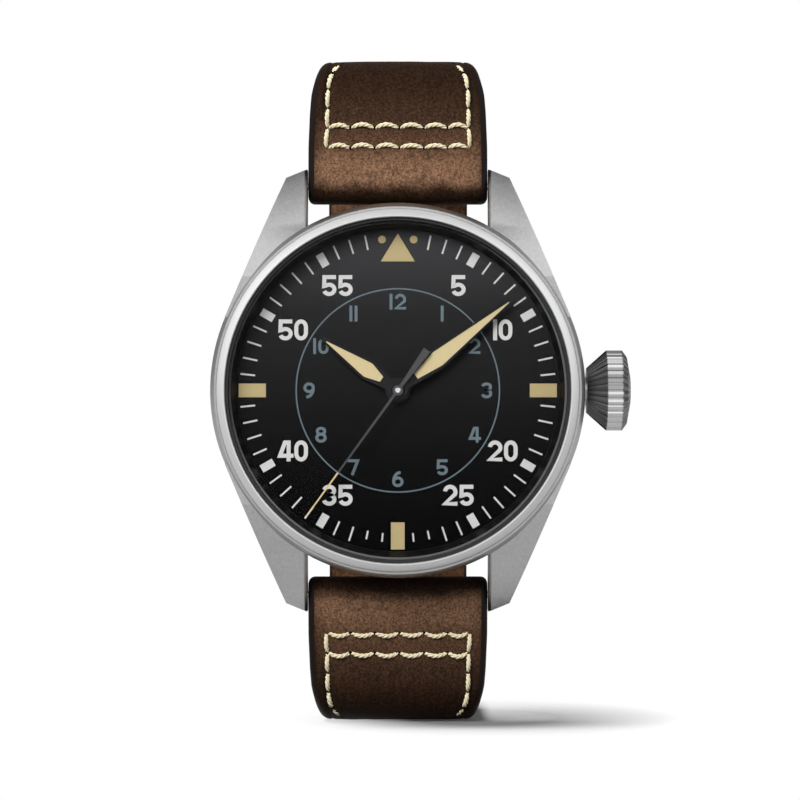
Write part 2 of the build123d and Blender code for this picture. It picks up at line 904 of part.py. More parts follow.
# Bridge over the barrel and the winding wheels
recess_floor = bridge_back + winding_recess
winding_level = bridge_back - winding_proud
ratchet_outer = winding_module * (ratchet_teeth / 2 + 0.85)
crown_wheel_outer = winding_module * (crown_wheel_teeth / 2 + 0.85)
click_length = click_distance - ratchet_outer - slip
barrel_bridge_shares = [
    (1.03, -0.27), (0.24, -0.27), (0.175, 0), (0.12, 0.15), (-0.11, 0.315), (-0.34, 1.03), (1.03, 1.03),
]
train_bridge_shares = [
    (-1.03, 1.03), (0.3, 1.03), (1.03, 0), (1.03, -0.75), (0.36, -1.03), (0.16, -0.62), (0.02, -0.2),
    (-0.24, -0.27), (-0.48, -0.24), (-0.7, -0.16), (-1.03, -0.1),
]
winding_slot = (winding_pinion_length + 2 * recess_clearance, 2 * winding_pinion_radius)

with BuildPart() as barrel_bridge:
    with BuildSketch(face_plane(bridge_back)):
        Circle(bridge_radius)
        Polygon(*scaled(barrel_bridge_shares, bridge_radius), align=None, mode=Mode.INTERSECT)
    extrude(amount=bridge_thickness)
    with BuildSketch(face_plane(bridge_back)):
        with Locations(ratchet_place):
            Circle(ratchet_outer + recess_clearance)
        with Locations(crown_wheel_place):
            Circle(crown_wheel_outer + recess_clearance)
        with Locations(click_place):
            Circle(click_length + recess_clearance)
    extrude(amount=winding_recess, mode=Mode.SUBTRACT)
    add_disc(face_plane(winding_level, crown_wheel_place), crown_wheel_screw_radius, recess_floor - winding_level)
    add_disc(face_plane(winding_level, click_place), click_pin_radius, recess_floor - winding_level)
    add_disc(face_plane(bridge_back, ratchet_place), barrel_arbor_radius + slip, bridge_thickness, mode=Mode.SUBTRACT)
    add_disc(face_plane(bridge_back, great_place), jewel_radius, bridge_thickness, mode=Mode.SUBTRACT)
    with BuildSketch(face_plane(bridge_back)):
        with Locations((winding_pinion_x, 0)):
            Rectangle(*winding_slot)
    extrude(amount=bridge_thickness, mode=Mode.SUBTRACT)
    add_feet(barrel_feet_angles)
save(barrel_bridge, "barrel_bridge")

with BuildPart() as train_bridge:
    with BuildSketch(face_plane(bridge_back)) as train_outline:
        Circle(bridge_radius)
        Polygon(*scaled(train_bridge_shares, bridge_radius), align=None, mode=Mode.INTERSECT)
        with BuildSketch(mode=Mode.SUBTRACT):
            Polygon(*scaled(barrel_bridge_shares, bridge_radius), align=None)
            offset(amount=bridge_split)
        with Locations(third_place, escape_place, centre):
            Circle(jewel_radius, mode=Mode.SUBTRACT)
    extrude(amount=bridge_thickness)
    add_feet(train_feet_angles)
save(train_bridge, "train_bridge")


def link_plane(level, start, end):
    """Plane at a level whose origin is midway between two places and points to the second."""
    turn = math.radians(direction_of(start, end))
    middle = ((start[0] + end[0]) / 2, (start[1] + end[1]) / 2)
    return Plane(
        origin=(middle[0], -level, middle[1]), x_dir=(math.cos(turn), 0, math.sin(turn)), z_dir=(0, -1, 0)
    )


def turned_plane(level, place, angle):
    """Plane at a level over a place, turned by an angle."""
    turn = math.radians(angle)
    return Plane(
        origin=(place[0], -level, place[1]), x_dir=(math.cos(turn), 0, math.sin(turn)), z_dir=(0, -1, 0)
    )


# Balance cock, with the stud of the balance spring
cock_foot = polar(foot_orbit, cock_foot_angle)
spring_end = spring_inner_radius + spring_half_turns / 2 * spring_pitch
stud_place = (balance_place[0] + spring_end + spring_width / 2 + stud_radius + fit, balance_place[1])
with BuildPart() as balance_cock:
    with BuildSketch(link_plane(bridge_back, balance_place, cock_foot)):
        SlotCenterToCenter(math.dist(balance_place, cock_foot), 2 * foot_radius)
    extrude(amount=bridge_thickness)
    add_disc(face_plane(bridge_back, balance_place), cock_boss_radius, bridge_thickness)
    with BuildSketch(link_plane(bridge_front - cock_arm_thickness, balance_place, stud_place)):
        SlotCenterToCenter(math.dist(balance_place, stud_place), 2 * stud_radius + stud_arm_extra)
    extrude(amount=cock_arm_thickness)
    add_disc(face_plane(bridge_front, stud_place), stud_radius, spring_rise + spring_height)
    add_disc(face_plane(bridge_back, balance_place), jewel_radius, bridge_thickness, mode=Mode.SUBTRACT)
    add_feet([cock_foot_angle])
save(balance_cock, "balance_cock")

# Pallet bridge with its foot
pallet_back = bridge_front + pallet_bridge_rise
pallet_front = pallet_back + pallet_bridge_thickness
with BuildPart() as pallet_bridge:
    with BuildSketch(link_plane(pallet_back, fork_place, pallet_foot)):
        SlotCenterToCenter(math.dist(fork_place, pallet_foot), pallet_bridge_width)
    extrude(amount=pallet_bridge_thickness)
    add_disc(face_plane(pallet_front, pallet_foot), pallet_bridge_width / 2, plate_back - pallet_front)
    add_disc(face_plane(pallet_back, fork_place), jewel_bore_radius, pallet_bridge_thickness, mode=Mode.SUBTRACT)
save(pallet_bridge, "pallet_bridge")

with BuildPart() as bridge_screws:
    with BuildSketch(face_plane(bridge_back)):
        with Locations(*screw_places):
            Circle(screw_head_radius)
    extrude(amount=screw_head_height)
    with BuildSketch(face_plane(screw_head_front)):
        with Locations(*screw_places):
            Circle(screw_radius)
    extrude(amount=screw_front - screw_head_front)
    with BuildSketch(face_plane(bridge_back)):
        with Locations(*screw_places):
            Rectangle(2 * screw_head_radius, screw_slot_width)
    extrude(amount=screw_slot_depth, mode=Mode.SUBTRACT)
save(bridge_screws, "bridge_screws")

with BuildPart() as movement_ring:
    add_revolved(
        [
            (ring_inner_radius, neck_front + slip),
            (cavity_radius - slip, neck_front + slip),
            (cavity_radius - slip, dial_back),
            (movement_radius - ring_ledge, dial_back),
            (movement_radius - ring_ledge, plate_front),
            (ring_inner_radius, plate_front),
        ]
    )
    add_disc(stem_plane(0), stem_radius + 2 * touch_gap, case_radius, mode=Mode.SUBTRACT)
save(movement_ring, "movement_ring")

# Barrel and the wheels of the going train
barrel_radius = barrel_module * barrel_teeth / 2 - barrel_rim
with BuildPart() as barrel:
    add_disc(face_plane(bridge_front + barrel_rise, barrel_place), barrel_radius, barrel_height)
    barrel_phase = direction_of(barrel_place, great_place)
    add_gear(
        face_plane(bridge_front + barrel_teeth_rise, barrel_place), barrel_teeth_thickness, barrel_teeth,
        barrel_module, barrel_phase,
    )
    add_disc(
        face_plane(bridge_front + barrel_rise, barrel_place), barrel_arbor_radius + slip, barrel_height,
        mode=Mode.SUBTRACT,
    )
save(barrel, "barrel")


def add_crossings(plane, module, teeth, count):
    """Round crossings between the hub and the rim of a wheel."""
    middle = (wheel_hub_radius + module * (teeth / 2 - 2)) / 2
    hole = (module * (teeth / 2 - 2) - wheel_hub_radius) * 0.4
    with BuildSketch(plane) as crossings:
        with PolarLocations(middle, count):
            Circle(hole)
    extrude(crossings.sketch, amount=wheel_thickness, mode=Mode.SUBTRACT)


with BuildPart() as great_wheel:
    great_pinion_phase = mesh_phase(
        barrel_phase, barrel_teeth, great_pinion_teeth, direction_of(barrel_place, great_place)
    )
    great_phase = direction_of(great_place, third_place)
    add_gear(
        face_plane(bridge_front + great_pinion_rise, great_place), pinion_length, great_pinion_teeth,
        barrel_module, great_pinion_phase,
    )
    great_plane = face_plane(bridge_front + great_wheel_rise, great_place)
    add_gear(great_plane, wheel_thickness, great_teeth, great_module, great_phase)
    add_crossings(great_plane, great_module, great_teeth, 5)
    add_arbor(great_place, front=minute_post_front - arbor_radius)
save(great_wheel, "great_wheel")

with BuildPart() as third_wheel:
    third_pinion_phase = mesh_phase(
        great_phase, great_teeth, third_pinion_teeth, direction_of(great_place, third_place)
    )
    third_phase = direction_of(third_place, centre)
    add_gear(
        face_plane(bridge_front + third_pinion_rise, third_place), pinion_length, third_pinion_teeth,
        great_module, third_pinion_phase,
    )
    third_plane = face_plane(bridge_front + third_wheel_rise, third_place)
    add_gear(third_plane, wheel_thickness, third_teeth, third_module, third_phase)
    add_crossings(third_plane, third_module, third_teeth, 5)
    add_arbor(third_place)
save(third_wheel, "third_wheel")

with BuildPart() as seconds_wheel:
    seconds_pinion_phase = mesh_phase(
        third_phase, third_teeth, seconds_pinion_teeth, direction_of(third_place, centre)
    )
    seconds_phase = direction_of(centre, escape_place)
    add_gear(
        face_plane(bridge_front + seconds_pinion_rise), pinion_length, seconds_pinion_teeth,
        third_module, seconds_pinion_phase,
    )
    seconds_wheel_plane = face_plane(bridge_front + seconds_wheel_rise)
    add_gear(seconds_wheel_plane, wheel_thickness, seconds_teeth, seconds_module, seconds_phase)
    add_crossings(seconds_wheel_plane, seconds_module, seconds_teeth, 5)
    add_arbor(centre, front=second_hand_level + second_hand_thickness / 2)
save(seconds_wheel, "seconds_wheel")

with BuildPart() as escape_wheel:
    escape_pinion_phase = mesh_phase(
        seconds_phase, seconds_teeth, escape_pinion_teeth, direction_of(centre, escape_place)
    )
    add_gear(
        face_plane(bridge_front + escape_pinion_rise, escape_place), pinion_length, escape_pinion_teeth,
        seconds_module, escape_pinion_phase,
    )
    escape_step = 360 / escape_teeth
    escape_points = []
    for tooth in range(escape_teeth):
        for radius_share, turn_share in ((0, 0), (1, 0.35), (1, 0.47), (0, 0.6)):
            escape_points.append(
                polar(
                    escape_radius - (1 - radius_share) * escape_tooth_height,
                    (tooth + turn_share) * escape_step,
                )
            )
    with BuildSketch(face_plane(bridge_front + escape_wheel_rise, escape_place)):
        with BuildLine():
            Polyline(*escape_points, close=True)
        make_face()
        with PolarLocations(escape_radius / 2, 4):
            Circle(escape_tooth_height * 0.7, mode=Mode.SUBTRACT)
    extrude(amount=escape_wheel_thickness)
    add_arbor(escape_place)
save(escape_wheel, "escape_wheel")

# Pallet fork, seen from its pivot with the balance ahead and the escape wheel behind
fork_level = bridge_front + fork_rise
stone_orbit = escape_radius + slip + fork_stone_length / 2
stone_turn = math.radians(fork_stone_angle)
stone_x = stone_orbit * math.cos(stone_turn) - fork_orbit
stone_y = stone_orbit * math.sin(stone_turn)
with BuildPart() as pallet_fork:
    with BuildSketch(turned_plane(fork_level, fork_place, train_direction)):
        Circle(fork_width)
        with BuildLine():
            Polyline(
                (fork_width / 2, -fork_width / 2),
                (stone_x + fork_width / 2, -stone_y - fork_width / 2),
                (stone_x - fork_width / 2, -stone_y + fork_width / 4),
                (-fork_width, 0),
                (stone_x - fork_width / 2, stone_y - fork_width / 4),
                (stone_x + fork_width / 2, stone_y + fork_width / 2),
                (fork_width / 2, fork_width / 2),
                close=True,
            )
        make_face()
        with Locations((fork_lever_length / 2, 0)):
            Rectangle(fork_lever_length, fork_slot_width)
        with Locations((fork_lever_length - fork_slot_depth, 0)):
            Rectangle(2 * fork_slot_depth, fork_mouth_width)
        with Locations((fork_lever_length - fork_slot_depth / 2, 0)):
            Rectangle(fork_slot_depth, fork_slot_width, mode=Mode.SUBTRACT)
        for side in (-1, 1):
            with Locations(Location((stone_x, side * stone_y, 0), (0, 0, side * fork_stone_angle))):
                Rectangle(fork_stone_length, fork_stone_width)
    extrude(amount=fork_thickness)
    add_disc(face_plane(pallet_front + slip, fork_place), arbor_radius, plate_back - pallet_front - 2 * slip)
    for level in (pallet_front + slip - pivot_length, plate_back - slip):
        add_disc(face_plane(level, fork_place), pivot_radius, pivot_length)
save(pallet_fork, "pallet_fork")

# Balance wheel with its staff and roller, and the balance spring
balance_level = bridge_front + balance_rise
spoke_length = balance_radius - balance_rim_width / 2
pin_place = polar(roller_pin_orbit, train_direction + 180, balance_place)
with BuildPart() as balance_wheel:
    with BuildSketch(face_plane(balance_level, balance_place)):
        Circle(balance_radius)
        Circle(balance_radius - balance_rim_width, mode=Mode.SUBTRACT)
        Circle(balance_hub_radius)
        with PolarLocations(spoke_length / 2, 3, start_angle=90):
            Rectangle(spoke_length, balance_spoke_width)
    extrude(amount=balance_thickness)
    roller_level = bridge_front + roller_rise
    add_disc(face_plane(roller_level, balance_place), roller_radius, roller_thickness)
    add_disc(face_plane(roller_level, pin_place), roller_pin_radius, roller_thickness + roller_pin_length)
    add_disc(
        face_plane(bridge_front + spring_rise, balance_place), spring_inner_radius - spring_width / 2 - slip,
        spring_height,
    )
    add_arbor(balance_place)
save(balance_wheel, "balance_wheel")

with BuildPart() as hairspring:
    with BuildSketch(face_plane(bridge_front + spring_rise, balance_place)):
        with BuildLine():
            for edge_side in (-1, 1):
                for half_turn in range(spring_half_turns):
                    CenterArc(
                        ((half_turn % 2) * spring_pitch / 2, 0),
                        spring_inner_radius + half_turn * spring_pitch / 2 + edge_side * spring_width / 2,
                        180 * (half_turn % 2),
                        180,
                    )
            for end_radius in (spring_inner_radius, spring_end):
                Line((end_radius - spring_width / 2, 0), (end_radius + spring_width / 2, 0))
        make_face()
    extrude(amount=spring_height)
save(hairspring, "hairspring")

# Hand setting train between the plate and the dial
cannon_level = plate_front + cannon_rise
minute_direction = direction_of(centre, minute_place)
with BuildPart() as cannon_pinion:
    add_gear(face_plane(cannon_level), cannon_teeth_height, cannon_teeth, motion_module, minute_direction)
    cannon_tube_level = cannon_level + cannon_teeth_height
    add_disc(
        face_plane(cannon_tube_level), cannon_outer, minute_hand_level + hand_thickness - cannon_tube_level
    )
    add_disc(
        face_plane(cannon_level), cannon_inner, minute_hand_level + hand_thickness - cannon_level,
        mode=Mode.SUBTRACT,
    )
save(cannon_pinion, "cannon_pinion")

minute_wheel_level = plate_front + minute_wheel_rise
hour_wheel_level = plate_front + hour_wheel_rise
minute_phase = mesh_phase(minute_direction, cannon_teeth, minute_teeth, minute_direction)
minute_pinion_phase = minute_direction + 180
with BuildPart() as minute_wheel:
    add_gear(
        face_plane(minute_wheel_level, minute_place), minute_wheel_thickness, minute_teeth, motion_module,
        minute_phase,
    )
    pinion_level = minute_wheel_level + minute_wheel_thickness
    add_gear(
        face_plane(pinion_level, minute_place), hour_wheel_level + hour_wheel_thickness - pinion_level,
        minute_pinion_teeth, hour_module, minute_pinion_phase,
    )
    add_disc(
        face_plane(minute_wheel_level, minute_place), arbor_radius + slip, motion_room, mode=Mode.SUBTRACT
    )
save(minute_wheel, "minute_wheel")

with BuildPart() as hour_wheel:
    hour_phase = mesh_phase(minute_pinion_phase, minute_pinion_teeth, hour_teeth, minute_direction + 180)
    add_gear(face_plane(hour_wheel_level), hour_wheel_thickness, hour_teeth, hour_module, hour_phase)
    hour_tube_length = hour_hand_level + hand_thickness - hour_wheel_level
    add_disc(face_plane(hour_wheel_level), hour_tube_outer - fit, hour_tube_length)
    add_disc(face_plane(hour_wheel_level), hour_tube_inner, hour_tube_length, mode=Mode.SUBTRACT)
save(hour_wheel, "hour_wheel")

with BuildPart() as driving_pinion:
    driving_direction = direction_of(minute_place, great_place)
    driving_phase = mesh_phase(minute_phase, minute_teeth, cannon_teeth, driving_direction)
    add_gear(
        face_plane(cannon_level, great_place), cannon_teeth_height, cannon_teeth, motion_module, driving_phase
    )
    add_disc(
        face_plane(cannon_level, great_place), arbor_radius + slip, cannon_teeth_height, mode=Mode.SUBTRACT
    )
save(driving_pinion, "driving_pinion")

# Winding wheels on the barrel bridge
crown_wheel_phase = 180 / crown_wheel_teeth
winding_direction = direction_of(crown_wheel_place, ratchet_place)
ratchet_phase = mesh_phase(crown_wheel_phase, crown_wheel_teeth, ratchet_teeth, winding_direction)
with BuildPart() as ratchet_wheel:
    add_gear(
        face_plane(winding_level, ratchet_place), winding_wheel_thickness, ratchet_teeth, winding_module,
        ratchet_phase,
    )
    ratchet_arbor_front = plate_back + jewel_thickness - slip
    add_disc(
        face_plane(winding_level, ratchet_place), barrel_arbor_radius, ratchet_arbor_front - winding_level
    )
save(ratchet_wheel, "ratchet_wheel")

with BuildPart() as crown_wheel:
    add_gear(
        face_plane(winding_level, crown_wheel_place), winding_wheel_thickness, crown_wheel_teeth,
        winding_module, crown_wheel_phase,
    )
    add_disc(
        face_plane(winding_level, crown_wheel_place), crown_wheel_screw_radius + slip,
        winding_wheel_thickness, mode=Mode.SUBTRACT,
    )
save(crown_wheel, "crown_wheel")

with BuildPart() as click:
    with BuildSketch(turned_plane(winding_level, click_place, click_angle + 180)):
        Circle(click_hub_radius)
        with BuildLine():
            Polyline(
                (0, click_hub_radius), (click_length, click_hub_radius / 2), (click_length, 0),
                (0, -click_hub_radius), close=True,
            )
        make_face()
        Circle(click_pin_radius + slip, mode=Mode.SUBTRACT)
    extrude(amount=winding_wheel_thickness)
save(click, "click")

with BuildPart() as winding_pinion:
    pinion_plane = stem_plane(winding_pinion_start)
    add_gear(pinion_plane, winding_pinion_length, winding_pinion_teeth, winding_module, 0)
    add_disc(pinion_plane, stem_radius + slip, winding_pinion_length, mode=Mode.SUBTRACT)
save(winding_pinion, "winding_pinion")

# Winding stem, its lever, the crown and the tube in the case wall
well_end = tube_end + touch_gap + slip
stem_end = well_end + stem_seat_length
with BuildPart() as winding_stem:
    add_disc(stem_plane(stem_start), stem_radius, stem_end - stem_start)
    with BuildSketch(stem_plane(stem_groove_x)):
        Circle(stem_radius + slip)
        Circle(stem_groove_radius, mode=Mode.SUBTRACT)
    extrude(amount=stem_groove_width, mode=Mode.SUBTRACT)
save(winding_stem, "winding_stem")

groove_middle = stem_groove_x + stem_groove_width / 2
with BuildPart() as setting_lever:
    with BuildSketch(face_plane(stem_level + lever_drop)):
        with Locations((groove_middle, stem_radius - lever_length / 2)):
            Rectangle(lever_width, lever_length)
    extrude(amount=lever_thickness)
    with BuildSketch(face_plane(stem_level + stem_groove_radius + slip)):
        with Locations((groove_middle, 0)):
            Rectangle(lever_tab_width, 2 * stem_radius)
    extrude(amount=lever_drop - stem_groove_radius - slip)
save(setting_lever, "setting_lever")

with BuildPart() as crown_tube:
    add_disc(stem_plane(cavity_radius), tube_radius, tube_end - cavity_radius)
    add_disc(stem_plane(cavity_radius), tube_radius - tube_wall, tube_end - cavity_radius, mode=Mode.SUBTRACT)
save(crown_tube, "crown_tube")

flute_shares = ((0, 1), (0.18, 0.45), (0.5, 0), (0.82, 0.45))


def flute_outline(radius):
    """Round outline with the crown's flutes, as deep as its radius allows."""
    depth = crown_flute_depth * radius / crown_radius
    step = 360 / crown_flutes
    points = []
    for flute in range(crown_flutes):
        for turn_share, depth_share in flute_shares:
            points.append(polar(radius - depth * depth_share, (flute + turn_share) * step))
    return points


crown_end = crown_start + crown_length
crown_sections = (
    (crown_start, crown_base_radius),
    (crown_start + crown_cone_length, crown_radius),
    (crown_start + crown_cone_length + crown_band_length, crown_radius),
    (crown_start + crown_cone_length + crown_band_length + crown_dome_length, crown_dome_radius),
    (crown_end, crown_end_radius),
)
with BuildPart() as crown:
    for section_x, section_radius in crown_sections:
        with BuildSketch(stem_plane(section_x)):
            with BuildLine():
                Polyline(*flute_outline(section_radius), close=True)
            make_face()
    loft(ruled=True)
    add_disc(stem_plane(crown_start), crown_well_radius, well_end - crown_start, mode=Mode.SUBTRACT)
    add_disc(stem_plane(well_end), stem_radius + fit, stem_seat_length + slip, mode=Mode.SUBTRACT)
save(crown, "crown")

with BuildPart() as crown_gasket:
    with BuildSketch(stem_plane(crown_start + touch_gap)):
        Circle(crown_well_radius - fit)
        Circle(tube_radius + slip, mode=Mode.SUBTRACT)
    extrude(amount=crown_gasket_length)
save(crown_gasket, "crown_gasket")

# Winding rotor hanging towards six o'clock, its heavy rim and its bearing
with BuildPart() as rotor:
    web_radius = rotor_radius - rotor_rim_width + rotor_step
    with BuildSketch(face_plane(rotor_back)):
        Circle(web_radius)
        with Locations((0, web_radius / 2)):
            Rectangle(2 * web_radius, web_radius, mode=Mode.SUBTRACT)
        for window in range(rotor_windows):
            window_middle = 180 + (window + 0.5) * 180 / rotor_windows
            with BuildLine():
                Polyline(
                    polar(rotor_window_inner, window_middle - rotor_window_angle / 2),
                    polar(rotor_window_outer, window_middle - rotor_window_angle / 2),
                    polar(rotor_window_outer, window_middle + rotor_window_angle / 2),
                    polar(rotor_window_inner, window_middle + rotor_window_angle / 2),
                    close=True,
                )
            make_face(mode=Mode.SUBTRACT)
        Circle(rotor_hub_radius)
        Circle(rotor_bore_radius, mode=Mode.SUBTRACT)
    extrude(amount=rotor_web_thickness)
    with BuildSketch(face_plane(rotor_back)):
        Circle(rotor_hub_radius)
        Circle(rotor_bore_radius, mode=Mode.SUBTRACT)
    extrude(amount=rotor_rim_thickness)
save(rotor, "rotor")

with BuildPart() as rotor_weight:
    for level, inner, thickness in (
        (rotor_back, web_radius, rotor_web_thickness),
        (rotor_back + rotor_web_thickness, rotor_radius - rotor_rim_width, rotor_rim_thickness - rotor_web_thickness),
    ):
        with BuildSketch(face_plane(level)):
            Circle(rotor_radius)
            Circle(inner, mode=Mode.SUBTRACT)
            with Locations((0, rotor_radius / 2)):
                Rectangle(2 * rotor_radius, rotor_radius, mode=Mode.SUBTRACT)
        extrude(amount=thickness)
save(rotor_weight, "rotor_weight")

with BuildPart() as rotor_bearing:
    add_disc(face_plane(rotor_back), rotor_bore_radius - slip, bridge_back - rotor_back)
    with BuildSketch(face_plane(rotor_back)):
        Rectangle(2 * rotor_bore_radius, screw_slot_width)
    extrude(amount=screw_slot_depth, mode=Mode.SUBTRACT)
save(rotor_bearing, "rotor_bearing")

# Strap: two halves that close into a loop, seen from the side
front_face = -bar_level - fold_radius
rise_start = bar_orbit + strap_front_straight
rise_turn = math.radians(rise_angle)
corner_start = rise_start + rise_radius * math.sin(rise_turn)
corner_radius = (strap_half_height - corner_start) / (1 - math.sin(rise_turn))
corner_y = front_face + rise_radius * (1 - math.cos(rise_turn)) + corner_radius * math.cos(rise_turn)
rise_centre = (front_face + rise_radius, rise_start)
corner_centre = (corner_y, strap_half_height - corner_radius)
tail_outer = loop_back + strap_layer_gap + strap_thickness
back_flat_height = strap_half_height - back_corner_radius


def half_loop(back_face, end_height, rounded_end):
    """Side outline of a strap half, from its fold at a spring bar round to its end."""
    inner = strap_thickness
    back_centre = (back_face - back_corner_radius, back_flat_height)
    with BuildSketch(Plane.YZ) as side_view:
        with BuildLine():
            Line((front_face, bar_orbit), (front_face, rise_start))
            CenterArc(rise_centre, rise_radius, 180, -rise_angle)
            CenterArc(corner_centre, corner_radius, 180 - rise_angle, rise_angle - 90)
            Line((corner_y, strap_half_height), (back_centre[0], strap_half_height))
            CenterArc(back_centre, back_corner_radius, 90, -90)
            Line((back_face, back_flat_height), (back_face, end_height))
            if rounded_end:
                ThreePointArc(
                    (back_face, end_height),
                    (back_face - inner / 2, end_height - inner / 2),
                    (back_face - inner, end_height),
                )
            else:
                Line((back_face, end_height), (back_face - inner, end_height))
            Line((back_face - inner, end_height), (back_face - inner, back_flat_height))
            CenterArc(back_centre, back_corner_radius - inner, 0, 90)
            Line((back_centre[0], strap_half_height - inner), (corner_y, strap_half_height - inner))
            CenterArc(corner_centre, corner_radius - inner, 90, 90 - rise_angle)
            CenterArc(rise_centre, rise_radius - inner, 180 - rise_angle, rise_angle)
            Line((front_face + inner, rise_start), (front_face + 2 * fold_radius, bar_orbit))
            ThreePointArc(
                (front_face + 2 * fold_radius, bar_orbit),
                (front_face + fold_radius, bar_orbit - fold_radius),
                (front_face, bar_orbit),
            )
        make_face()
    return side_view.sketch


strap_front_shares = ((0.67, 1), (0.81, 0.75), (0.93, 0.4), (1, 0.25))
strap_top_shares = ((0, 0.25), (0.4, 0))


def narrowing(width_share):
    """Half the strap's width where a share of its narrowing is left."""
    return (strap_end_width + width_share * (strap_width - strap_end_width)) / 2


def narrow_strap():
    """Cut the strap to its width, which narrows from the lugs over the bend to the buckle."""
    front_half = [(narrowing(share), height * strap_half_height) for height, share in strap_front_shares]
    right_side = [(x, -z) for x, z in reversed(front_half)] + front_half
    with BuildSketch(Plane.XZ) as front_view:
        with BuildLine():
            Polyline(*right_side, *[(-x, z) for x, z in reversed(right_side)], close=True)
        make_face()
    extrude(front_view.sketch, amount=2 * tail_outer, both=True, mode=Mode.INTERSECT)
    top_side = [(strap_width, front_face - overrun), (strap_width, corner_y - overrun)]
    for depth_share, width_share in strap_top_shares:
        top_side.append((narrowing(width_share), corner_y + depth_share * (tail_outer - corner_y)))
    top_side.append((narrowing(0), tail_outer + overrun))
    with BuildSketch(Plane.XY) as top_view:
        with BuildLine():
            Polyline(*top_side, *[(-x, y) for x, y in reversed(top_side)], close=True)
        make_face()
    extrude(top_view.sketch, amount=2 * strap_half_height, both=True, mode=Mode.INTERSECT)


def cross_bore(place, radius, half_length):
    """Bore along X through a place given by its Y and Z."""
    with BuildSketch(Plane.YZ) as bore:
        with Locations(place):
            Circle(radius)
    extrude(bore.sketch, amount=half_length, both=True, mode=Mode.SUBTRACT)


buckle_y = loop_back - strap_thickness / 2
buckle_centre = (buckle_y, buckle_height)
hole_middle = buckle_height - strap_hole_drop
with BuildPart() as strap_upper:
    extrude(half_loop(loop_back, buckle_height, True), amount=strap_width, both=True)
    narrow_strap()
    cross_bore((-bar_level, bar_orbit), bar_tube_radius + slip, strap_width)
    cross_bore(buckle_centre, buckle_bar_radius + slip, strap_width)
    with BuildSketch(Plane(origin=(0, loop_back + overrun, 0), x_dir=(1, 0, 0), z_dir=(0, -1, 0))):
        with Locations((0, buckle_height)):
            Rectangle(tongue_slot_width, 2 * strap_thickness)
    extrude(amount=strap_thickness + 2 * overrun, mode=Mode.SUBTRACT)
save(strap_upper, "strap_upper")

with BuildPart() as strap_lower:
    extrude(half_loop(tail_outer, -tail_tip_height, False), amount=strap_width, both=True)
    narrow_strap()
    cross_bore((-bar_level, bar_orbit), bar_tube_radius + slip, strap_width)
    tip_edges = strap_lower.edges().filter_by(Axis.Y).group_by(Axis.Z)[0]
    chamfer(tip_edges, tail_chamfer)
    with BuildSketch(Plane(origin=(0, tail_outer + overrun, 0), x_dir=(1, 0, 0), z_dir=(0, -1, 0))):
        for hole in range(-strap_holes_above, strap_holes_below + 1):
            with Locations(Location((0, -hole_middle + hole * strap_hole_pitch, 0), (0, 0, 90))):
                SlotOverall(strap_hole_length, strap_hole_width)
    extrude(amount=strap_thickness + 2 * overrun, mode=Mode.SUBTRACT)
    mirror(about=Plane.XY, mode=Mode.REPLACE)
save(strap_lower, "strap_lower")

# Spring bars: tubes inside the strap folds, and the sprung pins that enter the lugs
bar_tube_half = strap_width / 2 - bar_tube_inset
with BuildPart() as spring_bar_tubes:
    for side in (-1, 1):
        with BuildSketch(Plane.YZ):
            with Locations((-bar_level, side * bar_orbit)):
                Circle(bar_tube_radius)
                Circle(bar_pin_radius + slip, mode=Mode.SUBTRACT)
        extrude(amount=bar_tube_half, both=True)
save(spring_bar_tubes, "spring_bar_tubes")

bar_pin_end = lug_inner + bar_pin_reach
bar_pin_start = bar_tube_half - bar_pin_root
for height_side, height_name in ((1, "upper"), (-1, "lower")):
    for pin_side, pin_name in ((-1, "left"), (1, "right")):
        with BuildPart() as bar_pin:
            with BuildSketch(Plane.YZ.offset(pin_side * bar_pin_start)):
                with Locations((-bar_level, height_side * bar_orbit)):
                    Circle(bar_pin_radius)
            extrude(amount=pin_side * (bar_pin_end - bar_pin_start))
        save(bar_pin, f"bar_pin_{height_name}_{pin_name}")

# Buckle: frame, bar and tongue
frame_inner = strap_end_width / 2 + buckle_clearance
frame_outer = frame_inner + buckle_leg_width
end_bar_inner = tail_outer + buckle_clearance
end_bar_outer = end_bar_inner + buckle_end_depth
end_bar_middle = buckle_height - buckle_reach
end_bar_top = end_bar_middle + buckle_end_width / 2
end_bar_bottom = end_bar_middle - buckle_end_width / 2
with BuildPart() as buckle_frame:
    with BuildSketch(Plane.YZ.offset(frame_inner)):
        with Locations(buckle_centre):
            Circle(buckle_boss_radius)
        with BuildLine():
            Polyline(
                (buckle_y + buckle_boss_radius, buckle_height),
                (end_bar_outer, end_bar_top),
                (end_bar_outer, end_bar_bottom),
                (end_bar_inner, end_bar_bottom),
                (buckle_y - buckle_boss_radius, buckle_height),
                close=True,
            )
        make_face()
    extrude(amount=buckle_leg_width)
    mirror(about=Plane.YZ)
    with BuildSketch(Plane.YZ):
        with Locations(((end_bar_inner + end_bar_outer) / 2, end_bar_middle)):
            RectangleRounded(buckle_end_depth, buckle_end_width, buckle_round)
    extrude(amount=frame_outer, both=True)
    cross_bore(buckle_centre, buckle_bar_radius + fit, 2 * frame_outer)
save(buckle_frame, "buckle_frame")

with BuildPart() as buckle_bar:
    with BuildSketch(Plane.YZ):
        with Locations(buckle_centre):
            Circle(buckle_bar_radius)
    extrude(amount=frame_outer, both=True)
save(buckle_bar, "buckle_bar")

